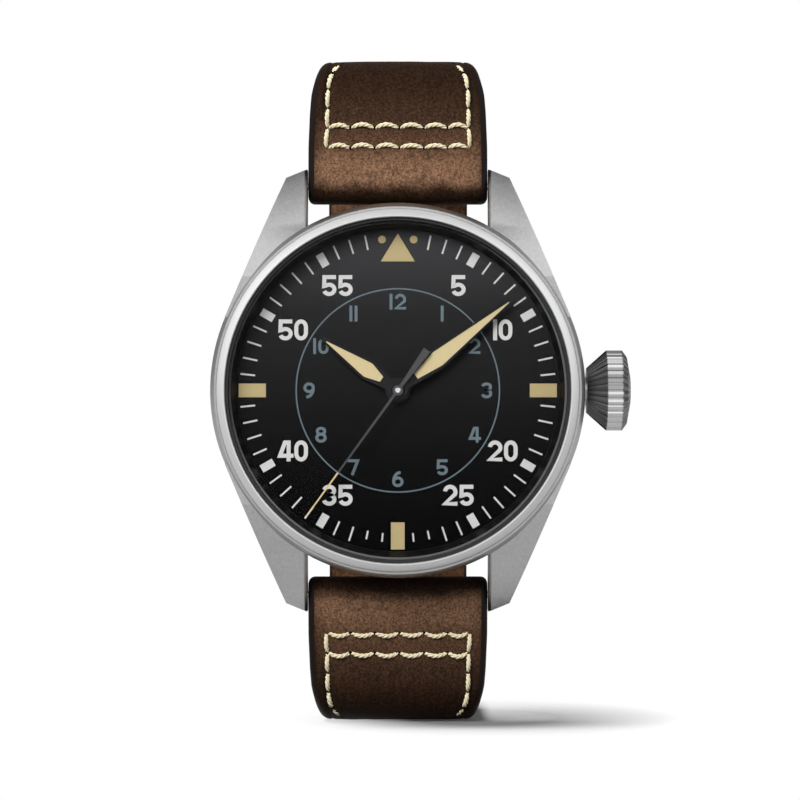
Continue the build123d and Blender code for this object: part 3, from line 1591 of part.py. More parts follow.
tongue_rest = end_bar_outer + touch_gap + tongue_thickness / 2
tongue_path = [
    (buckle_y, buckle_height),
    (buckle_y, hole_middle + strap_hole_length * 0.7),
    (loop_back - tongue_thickness / 2, hole_middle + strap_hole_length * 0.32),
    (tail_outer + tongue_thickness * 0.8, hole_middle - strap_hole_length * 0.24),
    (tongue_rest, end_bar_top + tongue_thickness / 4),
    (tongue_rest, end_bar_bottom),
]
with BuildPart() as buckle_tongue:
    with BuildSketch(Plane.YZ):
        with BuildLine():
            Polyline(*tongue_path)
        trace(line_width=tongue_thickness)
        with Locations(buckle_centre):
            Circle(buckle_boss_radius - slip)
            Circle(buckle_bar_radius + slip, mode=Mode.SUBTRACT)
    extrude(amount=tongue_width / 2, both=True)
save(buckle_tongue, "buckle_tongue")

# Keepers over both strap layers
keeper_inner_x = strap_end_width / 2 + keeper_clearance
keeper_front = loop_back - strap_thickness - keeper_clearance
keeper_back = tail_outer + keeper_clearance
keeper_middle_y = (keeper_front + keeper_back) / 2
for keeper_name, keeper_height in (
    ("fixed_keeper", buckle_height + keeper_first),
    ("free_keeper", buckle_height + keeper_first + keeper_spacing),
):
    with BuildPart() as keeper:
        with BuildSketch(Plane.XY.offset(keeper_height)):
            with Locations((0, keeper_middle_y)):
                RectangleRounded(
                    2 * (keeper_inner_x + keeper_wall), keeper_back - keeper_front + 2 * keeper_wall, keeper_wall
                )
                Rectangle(2 * keeper_inner_x, keeper_back - keeper_front, mode=Mode.SUBTRACT)
        extrude(amount=keeper_width)
    save(keeper, keeper_name)
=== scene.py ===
"""Finishes, dial printing, leather strap and studio of the pilot watch.

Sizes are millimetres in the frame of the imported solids: the dial faces -Y, twelve
o'clock points to +Z, the crown to +X, and the strap closes its loop on the +Y side.
"""

import logging
import math
import random
from collections.abc import Callable, Sequence
from dataclasses import dataclass, field
from enum import Enum

import bpy
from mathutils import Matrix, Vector, noise


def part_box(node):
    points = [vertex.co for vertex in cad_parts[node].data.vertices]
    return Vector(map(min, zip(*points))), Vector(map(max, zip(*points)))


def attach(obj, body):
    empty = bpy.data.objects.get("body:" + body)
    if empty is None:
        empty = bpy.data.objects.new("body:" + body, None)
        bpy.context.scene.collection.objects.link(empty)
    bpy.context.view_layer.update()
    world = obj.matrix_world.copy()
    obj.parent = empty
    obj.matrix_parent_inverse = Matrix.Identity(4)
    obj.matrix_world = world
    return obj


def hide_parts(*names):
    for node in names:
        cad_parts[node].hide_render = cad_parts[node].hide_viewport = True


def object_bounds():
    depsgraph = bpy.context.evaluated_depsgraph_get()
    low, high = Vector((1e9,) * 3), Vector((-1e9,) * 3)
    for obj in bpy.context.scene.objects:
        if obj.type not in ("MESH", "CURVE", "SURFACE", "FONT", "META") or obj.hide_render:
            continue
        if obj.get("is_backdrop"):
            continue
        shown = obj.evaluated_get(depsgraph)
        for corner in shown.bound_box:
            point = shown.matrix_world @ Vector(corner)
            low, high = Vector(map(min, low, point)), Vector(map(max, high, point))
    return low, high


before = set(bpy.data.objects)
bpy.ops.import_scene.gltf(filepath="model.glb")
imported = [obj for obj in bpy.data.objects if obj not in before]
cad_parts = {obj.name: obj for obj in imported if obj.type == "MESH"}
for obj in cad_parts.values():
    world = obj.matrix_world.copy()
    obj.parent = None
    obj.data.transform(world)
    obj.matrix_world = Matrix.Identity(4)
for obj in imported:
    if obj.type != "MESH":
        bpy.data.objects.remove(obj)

MM = 0.001
HEAD = "head_and_strap"
BURNISH = "burnish"
BLACK, WHITE = (0.0, 0.0, 0.0), (1.0, 1.0, 1.0)
ASKEW = Vector((0.31, 0.77, 0.55))
log = logging.getLogger("watch")

Colour = tuple[float, float, float]
Point = tuple[float, float]
Stop = tuple[float, Colour]
Line = tuple[list[Point], bool]
Rings = list[list[Vector]]
Socket = bpy.types.NodeSocket
Piece = bpy.types.Object


def paint(*levels: int) -> Colour:
    """Turns red, green and blue from 0 to 255, or one level for a grey, into a linear colour."""
    shares = [level / 255 for level in (levels * 3)[:3]]
    return tuple(s / 12.92 if s <= 0.04045 else ((s + 0.055) / 1.055) ** 2.4 for s in shares)


def polar(radius: float, clock_angle: float) -> Point:
    """Gives a place (x, z) on the dial from its radius and its degrees clockwise from twelve."""
    turn = math.radians(clock_angle)
    return radius * math.sin(turn), radius * math.cos(turn)


def between(table: Sequence[Point], place: float) -> float:
    """Reads a table of (place, value) pairs with straight lines between them.

    Args:
        table: Pairs in rising order of place.
        place: Where to read.

    Returns:
        The value there, held at the table's ends.
    """
    if place <= table[0][0]:
        return table[0][1]
    for (start, first), (end, last) in zip(table, table[1:]):
        if place <= end:
            return first + (last - first) * (place - start) / (end - start)
    return table[-1][1]


def circle(steps: int) -> list[float]:
    """Gives the angles of a circle's corners."""
    return [math.tau * step / steps for step in range(steps)]


def bell(value: float, middle: float, width: float) -> float:
    """Gives a bell curve that is 1 at its middle."""
    return math.exp(-(((value - middle) / width) ** 2))


def rounding(inset: float, radius: float) -> float:
    """Gives how far a round edge falls, from 1 at the edge to 0 a radius inside it."""
    return 1 - math.sqrt(max(0.0, 1 - (1 - min(1.0, inset / radius)) ** 2))


class Graph:
    """Nodes of one material or world, with short calls for those that the finishes use."""

    def __init__(self, owner: bpy.types.ID, source: str = "Object") -> None:
        """Starts an empty graph.

        Args:
            owner: The material or world.
            source: Coordinates that its places are taken from.
        """
        owner.use_nodes = True
        self.tree = owner.node_tree
        self.tree.nodes.clear()
        self.places = self.node("TexCoord", out=source)

    def node(self, kind: str, *inputs: object, out: int | str = 0, **settings: object) -> Socket:
        """Adds a node and feeds it.

        Args:
            kind: The node's type.
            inputs: Sockets or constants for its first inputs, None for one that is left.
            out: The output that is asked for.
            settings: Its properties, and its inputs by name, which start with a capital.

        Returns:
            The output.
        """
        node = self.tree.nodes.new(f"ShaderNode{kind}")
        for key, value in settings.items():
            if not key[0].isupper():
                setattr(node, key, value)
        named = [(node.inputs[key.replace("_", " ")], settings[key]) for key in settings if key[0].isupper()]
        for target, value in [*zip(node.inputs, inputs), *named]:
            if isinstance(value, Socket):
                self.tree.links.new(value, target)
            elif value is not None:
                target.default_value = (*value, 1.0) if target.type == "RGBA" else value
        return node.outputs[out]

    def math(self, operation: str, *values: object) -> Socket:
        """Works out a number."""
        return self.node("Math", *values, operation=operation)

    def vector(self, operation: str, *values: object, out: int | str = 0) -> Socket:
        """Works out a vector, or a number at the output Value."""
        return self.node("VectorMath", *values, operation=operation, out=out)

    def stretch(self, x: float, y: float, z: float) -> Socket:
        """Gives the place on the object, scaled along each axis in features per millimetre."""
        return self.vector("MULTIPLY", self.places, (x / MM, y / MM, z / MM))

    def even(self, scale: float) -> Socket:
        """Gives the place on the object, scaled alike along all axes."""
        return self.stretch(scale, scale, scale)

    def axis(self, name: str) -> Socket:
        """Gives one coordinate of the place on the object, in millimetres."""
        return self.node("SeparateXYZ", self.even(1.0), out=name)

    def reach(self) -> Socket:
        """Gives the distance from the dial's axis, in millimetres."""
        return self.vector("LENGTH", self.stretch(1.0, 0.0, 1.0), out="Value")

    def along(self, x: float, z: float) -> Socket:
        """Gives how far the place lies along a direction across the dial."""
        return self.vector("DOT_PRODUCT", self.even(1.0), (x, 0.0, z), out="Value")

    def noise(self, places: Socket, detail: float = 3.0, rough: float = 0.55) -> Socket:
        """Gives cloudy noise from its number of octaves and the weight of the finer ones."""
        return self.node("TexNoise", places, Scale=1.0, Detail=detail, Roughness=rough)

    def cells(self, places: Socket, feature: str = "F1") -> Socket:
        """Gives the distance from the middles of cells of size 1."""
        return self.node("TexVoronoi", places, Scale=1.0, feature=feature, out="Distance")

    def span(self, value: object, low: float, high: float, start: float = 0.0, end: float = 1.0) -> Socket:
        """Maps the values from low to high onto those from start to end, clamped."""
        return self.node("MapRange", value, low, high, start, end)

    def weigh(self, share: float, first: Socket, second: Socket) -> Socket:
        """Adds a share of one number to the rest of another."""
        return self.math("MULTIPLY_ADD", first, share, self.math("MULTIPLY", second, 1 - share))

    def mix(self, share: object, first: object, second: object) -> Socket:
        """Mixes two colours by a share."""
        return self.node("Mix", share, *5 * (None,), first, second, data_type="RGBA", out=2)

    def ramp(self, value: object, stops: Sequence[Stop]) -> Socket:
        """Gives a colour that follows a value.

        Args:
            value: The value.
            stops: Pairs of a value and its colour, in rising order.

        Returns:
            The colour.
        """
        low, high = stops[0][0], stops[-1][0]
        colour = self.node("ValToRGB", self.span(value, low, high))
        elements = colour.node.color_ramp.elements
        for place, _ in stops[1:-1]:
            elements.new((place - low) / (high - low))
        for element, (_, tone) in zip(elements, stops):
            element.color = (*tone, 1.0)
        return colour

    def close(self, surface: Socket, kind: str = "Material") -> None:
        """Joins a surface to the output of the material or world."""
        self.tree.links.new(surface, self.tree.nodes.new(f"ShaderNodeOutput{kind}").inputs["Surface"])


@dataclass(frozen=True)
class Finish:
    """A surface with a fine even grain."""

    name: str
    colour: Colour
    roughness: float = 0.4
    metallic: float = 0.0
    grain: float = 0.1
    relief: float = 0.004
    spread: float = 0.12
    gloss: float = 0.5

    def height(self, graph: Graph) -> Socket:
        """Gives the height of the grain, from 0 to 1."""
        return graph.noise(graph.even(1 / self.grain), 2.0)

    def tone(self, graph: Graph, height: Socket) -> Socket:
        """Gives the colour, from the dark tone in the grain's pits to the light one on its tops."""
        shades = [tuple(min(1.0, c * side) for c in self.colour) for side in (1 - self.spread, 1 + self.spread)]
        return graph.mix(graph.span(height, 0.25, 0.75), *shades)

    def sockets(self, graph: Graph) -> dict[str, object]:
        """Gives the inputs of the surface shader.

        Args:
            graph: Graph that the nodes before them go into.

        Returns:
            Each input's name, with underscores for spaces, and its socket or constant.
        """
        height = self.height(graph)
        return {
            "Base_Color": self.tone(graph, height),
            "Roughness": graph.span(height, 0.2, 0.8, self.roughness * 0.85, self.roughness * 1.15),
            "Normal": graph.node("Bump", Distance=self.relief * MM, Height=height),
            "Metallic": self.metallic,
            "Specular_IOR_Level": self.gloss,
        }

    def material(self) -> bpy.types.Material:
        """Gives the material, which the first call builds.

        Returns:
            The material.
        """
        made = bpy.data.materials.get(self.name)
        if not made:
            made = bpy.data.materials.new(self.name)
            graph = Graph(made)
            graph.close(graph.node("BsdfPrincipled", **self.sockets(graph)))
        return made


@dataclass(frozen=True)
class Blasted(Finish):
    """Metal with the dull speckle that blasting with beads leaves."""

    metallic: float = 1.0

    def height(self, graph: Graph) -> Socket:
        """Gives pits of one size over a coarser unevenness."""
        coarse = graph.noise(graph.even(0.35 / self.grain), 1.0)
        return graph.weigh(0.35, coarse, graph.noise(graph.even(1 / self.grain), 3.0, 0.7))


class Axis(Enum):
    """Axis that a surface was turned about, after its two cross directions."""

    DIAL = ("X", "Z", "Y")
    STEM = ("Y", "Z", "X")


@dataclass(frozen=True)
class Turned(Finish):
    """Metal with the fine rings of a lathe or a polishing wheel."""

    metallic: float = 1.0
    grain: float = 0.06
    relief: float = 0.001
    axis: Axis = Axis.DIAL

    def height(self, graph: Graph) -> Socket:
        """Gives rings round the axis that change slowly on their way.

        Args:
            graph: Graph that the nodes go into.

        Returns:
            The height, from 0 to 1.
        """
        first, second, along = (graph.axis(name) for name in self.axis.value)
        square = graph.math("MULTIPLY_ADD", first, first, graph.math("MULTIPLY", second, second))
        rings = (graph.math("MULTIPLY", value, 1 / self.grain) for value in (graph.math("SQRT", square), along))
        return graph.noise(graph.node("CombineXYZ", *rings, graph.math("MULTIPLY", first, 0.25)), 2.0)


@dataclass(frozen=True)
class Striped(Finish):
    """Metal with broad parallel stripes, as on the bridges of a movement."""

    metallic: float = 1.0
    stripe: float = 1.6
    slant: Point = (0.6, 0.8)

    def height(self, graph: Graph) -> Socket:
        """Gives slanting stripes, brushed along their length."""
        saw = graph.math("FRACT", graph.along(*(share / self.stripe for share in self.slant)))
        return graph.weigh(0.25, graph.noise(graph.stretch(12.0, 1.0, 3.0), 2.0), saw)


@dataclass(frozen=True)
class Spotted(Finish):
    """Metal with overlapping round spots, as on a main plate."""

    metallic: float = 1.0
    rings: float = 9.0

    def height(self, graph: Graph) -> Socket:
        """Gives round spots with rings inside."""
        spots = graph.math("MULTIPLY", graph.cells(graph.even(1 / self.grain)), self.rings)
        return graph.math("ABSOLUTE", graph.math("SINE", spots))


@dataclass(frozen=True)
class Banded(Turned):
    """Turned metal with a bright band between two stretches darkened by painted shade, as on a crown whose cone and
    end face turn away from the light.
    """

    band: Point = (24.05, 25.8)
    fades: Point = (0.05, 0.1)
    dull: float = 0.3

    def tone(self, graph: Graph, height: Socket) -> Socket:
        """Gives the band's colour, darkened outside the band by painted shade.

        Args:
            graph: Graph that the nodes go into.
            height: Height of the grain.

        Returns:
            The colour.
        """
        (start, end), (rise, fall), along = self.band, self.fades, graph.axis("X")
        risen = graph.span(along, start - rise, start + rise)
        inside = graph.math("MULTIPLY", risen, graph.span(along, end - fall, end + fall, 1.0, 0.0))
        shaded_colour = tuple(c * self.dull for c in self.colour)
        return graph.mix(inside, shaded_colour, super().tone(graph, height))


@dataclass(frozen=True)
class Ringed(Finish):
    """Lacquer whose tone changes in rings round the dial's axis; on the flange some rings are painted highlights for
    the edges of its steps.
    """

    stops: tuple[Stop, ...] = ()

    def way(self, graph: Graph) -> Socket:
        """Gives what the tone changes by, the distance from the dial's axis."""
        return graph.reach()

    def tone(self, graph: Graph, height: Socket) -> Socket:
        """Gives the tone of the place, a little darker on the grain's tops."""
        tone = graph.ramp(self.way(graph), self.stops)
        return graph.mix(graph.span(height, 0.3, 0.7, 0.0, self.spread), tone, BLACK)


@dataclass(frozen=True)
class Smoked(Ringed):
    """Matt lacquer painted lighter towards twelve o'clock and darker towards six: a painted sheen at the top and
    painted shade at the bottom.
    """

    def way(self, graph: Graph) -> Socket:
        """Gives what the tone changes by, the height on the dial."""
        return graph.axis("Z")


@dataclass(frozen=True)
class Tipped(Finish):
    """Lacquer that changes colour from a radius outwards, as on a seconds hand."""

    tip: Colour = WHITE
    tip_start: float = 11.6

    def tone(self, graph: Graph, height: Socket) -> Socket:
        """Gives the tone by the distance from the dial's axis."""
        painted = graph.math("GREATER_THAN", graph.reach(), self.tip_start)
        return graph.mix(painted, super().tone(graph, height), self.tip)


@dataclass(frozen=True)
class Filled(Finish):
    """Lume in a hand, cut off straight where the hand's own lacquer begins."""

    turn: float = 0.0
    start: float = 2.0
    lacquer: Colour = (0.014, 0.014, 0.015)

    def tone(self, graph: Graph, height: Socket) -> Socket:
        """Gives the tone by the distance along the hand."""
        filled = graph.math("GREATER_THAN", graph.along(*polar(1.0, self.turn)), self.start)
        return graph.mix(filled, self.lacquer, super().tone(graph, height))


@dataclass(frozen=True)
class Hide(Finish):
    """Waxed leather: pebbled grain, cloudy brown, paler where it is pulled over the spring bar with a painted
    highlight there, and painted shade under the case and towards the strap's ends.
    """

    light: Colour = WHITE
    dark: Colour = BLACK
    pull: tuple[Stop, ...] = ()
    gloss: float = 0.05

    def height(self, graph: Graph) -> Socket:
        """Gives pebbles with fibres over them."""
        fibre = graph.noise(graph.even(1.6 / self.grain), 4.0, 0.75)
        return graph.weigh(0.5, fibre, graph.cells(graph.even(1 / self.grain), "SMOOTH_F1"))

    def brown(self, graph: Graph) -> Socket:
        """Gives the brown before its grain, by height in front, with painted highlight and painted shade, and even
        behind.

        Args:
            graph: Graph that the nodes go into.

        Returns:
            The colour.
        """
        clouds = graph.noise(graph.even(0.25), 3.0, 0.6)
        even = graph.mix(graph.span(clouds, 0.36, 0.66), self.colour, self.light)
        if not self.pull:
            return even
        wander = graph.math("MULTIPLY_ADD", clouds, 2.4, -1.2)
        level = graph.math("ADD", graph.math("ABSOLUTE", graph.axis("Z")), wander)
        return graph.mix(graph.span(graph.axis("Y"), 6.0, 18.0), graph.ramp(level, self.pull), even)

    def tone(self, graph: Graph, height: Socket) -> Socket:
        """Gives the brown with dark pores, faint streaks, pale fibres and burnished edges.

        Args:
            graph: Graph that the nodes go into.
            height: Height of the grain.

        Returns:
            The colour.
        """
        fibre = graph.noise(graph.even(1.3 / self.grain), 4.0, 0.75)
        pores = graph.noise(graph.even(0.75 / self.grain), 3.0, 0.7)
        streaks = graph.noise(graph.stretch(2.2, 0.9, 0.7), 3.0, 0.6)
        lit = graph.span(pores, 0.4, 0.62, 1.25, 0.5)
        for share in (graph.span(fibre, 0.38, 0.66, 0.75, 1.5), graph.span(streaks, 0.45, 0.72, 1.0, 0.75)):
            lit = graph.math("MULTIPLY", lit, share)
        brown = graph.vector("MULTIPLY", self.brown(graph), graph.node("CombineXYZ", *3 * (lit,)))
        return graph.mix(graph.node("Attribute", attribute_name=BURNISH, out="Fac"), brown, self.dark)


@dataclass(frozen=True)
class Clear(Finish):
    """Sapphire with a thin bluish coat, nearly unseen but for what it mirrors."""

    opacity: float = 0.02
    index: float = 1.76

    def sockets(self, graph: Graph) -> dict[str, object]:
        """Gives the inputs of the surface shader, with a faint smear.

        Args:
            graph: Graph that the nodes before them go into.

        Returns:
            Each input's name and its socket or constant.
        """
        smear = graph.noise(graph.even(0.2), 2.0)
        rough = graph.span(smear, 0.3, 0.7, self.roughness * 0.7, self.roughness * 1.3)
        return {"Base_Color": self.colour, "Roughness": rough, "Alpha": self.opacity, "IOR": self.index}


TITANIUM = Blasted("blasted_titanium", paint(192), 0.4, grain=0.13, relief=0.016, spread=0.18)
SATIN_RING = Turned("satin_titanium", paint(226), 0.42, 0.65, grain=0.05, relief=0.002, spread=0.1)
BACK_SATIN = Turned("turned_case_back", paint(165, 165, 166), 0.34, grain=0.07, relief=0.003)
# The crown keeps its colour on the fluted band and is darkened on its cone and end face by painted shade.
CROWN_POLISH = Banded("polished_crown", paint(206), 0.14, relief=0.002, axis=Axis.STEM)
BLACKENED = Turned("blackened_steel", paint(30, 30, 32), 0.3)
PIN_POLISH = Turned("polished_pin", paint(236, 236, 238), 0.12, relief=0.0005)
STEEL = Turned("polished_steel", paint(190, 190, 194), 0.22)
BLUED = Turned("blued_screws", paint(45, 62, 130), 0.2)
BRASS = Turned("gilt_brass", paint(205, 172, 104), 0.3, grain=0.05, relief=0.002)
ROTOR = Turned("turned_rotor", paint(182, 181, 178), 0.3, grain=0.09, relief=0.003, spread=0.16)
WEIGHT = Turned("gilt_weight", paint(190, 165, 112), 0.3, grain=0.09, relief=0.003, spread=0.16)
BRIDGE = Striped("striped_bridges", paint(190, 189, 186), 0.28, relief=0.01, spread=0.18)
PLATE = Spotted("spotted_plate", paint(176, 175, 172), 0.3, grain=0.8)
SPRING_STEEL = Finish("blued_spring", paint(60, 70, 120), 0.25, 1.0, spread=0.2)
RUBY = Finish("ruby", paint(168, 24, 60), 0.12, grain=0.3, relief=0.001)
CRYSTAL = Clear("sapphire", paint(2, 3, 6), 0.04)
GASKET = Finish("grey_gasket", paint(50, 50, 51), 0.5, relief=0.003, gloss=0.15)
RUBBER = Finish("black_rubber", paint(24, 24, 25), 0.6, grain=0.15, relief=0.006, spread=0.2, gloss=0.2)
# Dark flange tones with two light rings, at 18.32 to 18.42 and 19.08 to 19.3, that are painted highlights on the edges
# of the flange's steps.
DARK_RING = Ringed("black_flange", BLACK, 0.35, grain=0.08, relief=0.003, gloss=0.15, stops=(
    (18.1, paint(14, 14, 15)), (18.28, paint(18, 18, 19)), (18.32, paint(84, 84, 85)),
    (18.42, paint(84, 84, 85)), (18.46, paint(14, 14, 15)), (19.02, paint(12, 12, 13)),
    (19.08, paint(112, 112, 113)), (19.3, paint(104, 104, 105)), (19.36, paint(30, 30, 31)),
    (20.2, paint(30, 30, 31)),
))
# The dial's tone rises from six to twelve o'clock: painted shade at the bottom and a painted sheen at the top of a
# black dial.
DIAL_BLACK = Smoked("matt_dial", BLACK, 0.55, grain=0.05, gloss=0.01, stops=(
    (-18.0, paint(5, 5, 6)), (-9.0, paint(16, 16, 17)), (0.0, paint(31, 31, 32)), (9.0, paint(44, 44, 45)),
    (18.0, paint(72, 72, 74)),
))
HAND_BLACK = Finish("black_hands", paint(34, 34, 36), 0.32, grain=0.05, relief=0.002, spread=0.2, gloss=0.15)
SECONDS_BLACK = Tipped(
    "seconds_lacquer", paint(78, 78, 80), 0.3, grain=0.05, relief=0.002, gloss=0.3, tip=paint(228, 208, 156)
)
WHITE_PRINT = Finish("white_print", paint(224, 224, 222), 0.5, grain=0.06, spread=0.06, gloss=0.2)
GREY_PRINT = Finish("grey_print", paint(112, 128, 135), 0.5, grain=0.06, spread=0.1, gloss=0.2)
LUME = Finish("old_lume", paint(198, 180, 134), 0.6, grain=0.07, relief=0.01, spread=0.08, gloss=0.2)
HOUR_FILL, MINUTE_FILL = (
    Filled(f"{hand}_hand_fill", paint(228, 210, 162), 0.6, grain=0.07, relief=0.01, gloss=0.2, turn=turn, start=start)
    for hand, turn, start in (("hour", 304.3, 2.24), ("minute", 51.6, 2.63))
)
LEATHER = Hide(
    "brown_leather", paint(62, 42, 30), 0.46, grain=0.22, relief=0.035, light=paint(92, 66, 49), dark=paint(20, 11, 7),
    # By height: painted shade under the case below 23, a pale band at 24.4 to 26.2 that is partly pulled leather and
    # partly a painted highlight, and painted shade towards the ends where the strap turns away.
    pull=(
        (21.4, paint(26, 16, 10)), (23.0, paint(48, 32, 22)), (24.4, paint(130, 98, 76)), (26.2, paint(126, 95, 73)),
        (28.0, paint(96, 70, 53)), (31.5, paint(66, 47, 35)), (35.5, paint(44, 29, 19)), (39.0, paint(36, 23, 14)),
    ),
)
LINING = Hide(
    "leather_lining", paint(88, 60, 42), 0.6, grain=0.3, relief=0.03, light=paint(112, 80, 58), dark=paint(56, 37, 26)
)
EDGE_PAINT = Finish("edge_paint", paint(22, 16, 14), 0.5, grain=0.3, relief=0.02, spread=0.25, gloss=0.12)
THREAD = Finish("linen_thread", paint(244, 230, 196), 0.65, grain=0.06, relief=0.02, spread=0.16, gloss=0.1)
# Dark patches at the stitch holes: painted shade for the holes' depth.
SHADE = Finish("stitch_hole_shade", paint(16, 10, 8), 0.8, relief=0.01, gloss=0.05)
Coats = tuple[tuple[Finish, float, str], ...]


def place_mesh(name: str, corners: Sequence[Vector], faces: Sequence[tuple[int, ...]]) -> Piece:
    """Puts a mesh into the scene.

    Args:
        name: Its name.
        corners: Its corners in millimetres.
        faces: Its faces, each by the numbers of its corners.

    Returns:
        The object that holds it.
    """
    mesh = bpy.data.meshes.new(name)
    mesh.from_pydata([corner * MM for corner in corners], [], faces)
    piece = bpy.data.objects.new(name, mesh)
    bpy.context.scene.collection.objects.link(piece)
    return piece


class Shape:
    """Corners and faces of one piece, gathered in millimetres."""

    def __init__(self) -> None:
        """Starts an empty shape."""
        self.corners: list[Vector] = []
        self.faces: list[tuple[int, ...]] = []
        self.tones: list[int] = []
        self.burnish: list[float] = []

    def loft(self, rings: Rings, looped: bool = False, tone: Callable[[int], int] = lambda side: 0) -> None:
        """Skins closed rings of equally many corners, with flat ends unless looped.

        Args:
            rings: The rings in order.
            looped: Whether the last ring joins the first.
            tone: Finish number of a face from its number round the ring.
        """
        start, count = len(self.corners), len(rings[0])
        for ring in rings:
            self.corners += ring
        for row in range(len(rings) if looped else len(rings) - 1):
            this, after = start + row * count, start + (row + 1) % len(rings) * count
            for side in range(count):
                other = (side + 1) % count
                self.faces.append((this + side, this + other, after + other, after + side))
                self.tones.append(tone(side))
        if not looped:
            last = start + (len(rings) - 1) * count
            self.faces += [tuple(start + side for side in reversed(range(count))), tuple(range(last, last + count))]
            self.tones += [tone(0), tone(0)]

    def build(self, name: str, body: str, slot: str, finishes: Sequence[Finish], crease: float = 35.0) -> Piece:
        """Makes the Blender piece, rides it on its body and dresses it.

        Args:
            name: Name of the piece.
            body: CAD body that it rides on.
            slot: Not used.
            finishes: Finishes in the order of their numbers.
            crease: Angle from which an edge stays sharp.

        Returns:
            The piece.
        """
        piece = place_mesh(name, self.corners, self.faces)
        mesh = piece.data
        for finish in finishes:
            mesh.materials.append(finish.material())
        mesh.polygons.foreach_set("material_index", self.tones)
        if self.burnish:
            mesh.attributes.new(BURNISH, "FLOAT", "POINT").data.foreach_set("value", self.burnish)
        mesh.validate()
        mesh.shade_smooth()
        mesh.set_sharp_from_angle(angle=math.radians(crease))
        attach(piece, body)
        log.info("%s: %d faces on %s", name, len(mesh.polygons), body)
        return piece


@dataclass
class Assembly:
    """Sub-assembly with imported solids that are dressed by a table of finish, broken edge and names."""

    finishes: Coats = ()

    def dress(self) -> None:
        """Gives the solids their finishes and, where the table says so, a fine broken edge."""
        for finish, bevel, names in self.finishes:
            for name in names.split():
                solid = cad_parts[name]
                solid.data.materials.clear()
                solid.data.materials.append(finish.material())
                if bevel:
                    solid.modifiers.new("weld", "WELD").merge_threshold = 0.001 * MM
                    edge = solid.modifiers.new("edge", "BEVEL")
                    edge.width, edge.segments = bevel * MM, 2
                    edge.limit_method, edge.angle_limit = "ANGLE", math.radians(32)
                log.info("%s: %s", name, finish.name)

    def build(self) -> None:
        """Builds the sub-assembly."""
        self.dress()


@dataclass
class Head(Assembly):
    """Case, bezel, crystal, back, crown and spring bars."""

    finishes: Coats = (
        (TITANIUM, 0.06, "case_middle"),
        (SATIN_RING, 0.05, "bezel"),
        (BACK_SATIN, 0.05, "case_back"),
        (CROWN_POLISH, 0.04, "crown"),
        (CRYSTAL, 0.0, "crystal case_back_crystal"),
        (GASKET, 0.0, "crystal_gasket"),
        (RUBBER, 0.0, "case_back_gasket crown_gasket"),
        (STEEL, 0.0, "crown_tube winding_stem setting_lever spring_bar_tubes"),
        (STEEL, 0.0, "bar_pin_upper_left bar_pin_upper_right bar_pin_lower_left bar_pin_lower_right"),
    )


@dataclass
class Movement(Assembly):
    """Plates, bridges, wheels, balance and rotor."""

    finishes: Coats = (
        (BRIDGE, 0.05, "barrel_bridge train_bridge balance_cock pallet_bridge"),
        (PLATE, 0.0, "main_plate"),
        (ROTOR, 0.04, "rotor"),
        (WEIGHT, 0.05, "rotor_weight"),
        (STEEL, 0.0, "movement_ring centre_tube rotor_bearing ratchet_wheel crown_wheel winding_pinion"),
        (STEEL, 0.0, "click escape_wheel pallet_fork driving_pinion"),
        (BLACKENED, 0.0, "cannon_pinion"),
        (BRASS, 0.0, "barrel great_wheel third_wheel seconds_wheel balance_wheel minute_wheel hour_wheel"),
        (SPRING_STEEL, 0.0, "hairspring"),
        (BLUED, 0.0, "bridge_screws"),
        (RUBY, 0.0, "jewels"),
    )


def arc(centre: Point, across: float, up: float, start: float, end: float) -> list[Point]:
    """Gives points of an ellipse's arc.

    Args:
        centre: Its centre.
        across: Its half width.
        up: Its half height.
        start: First angle, in degrees anticlockwise from the right.
        end: Last angle.

    Returns:
        The points in order.
    """
    steps = max(2, round(abs(end - start) / 10))
    turns = (math.radians(start + (end - start) * step / steps) for step in range(steps + 1))
    return [(centre[0] + across * math.cos(t), centre[1] + up * math.sin(t)) for t in turns]


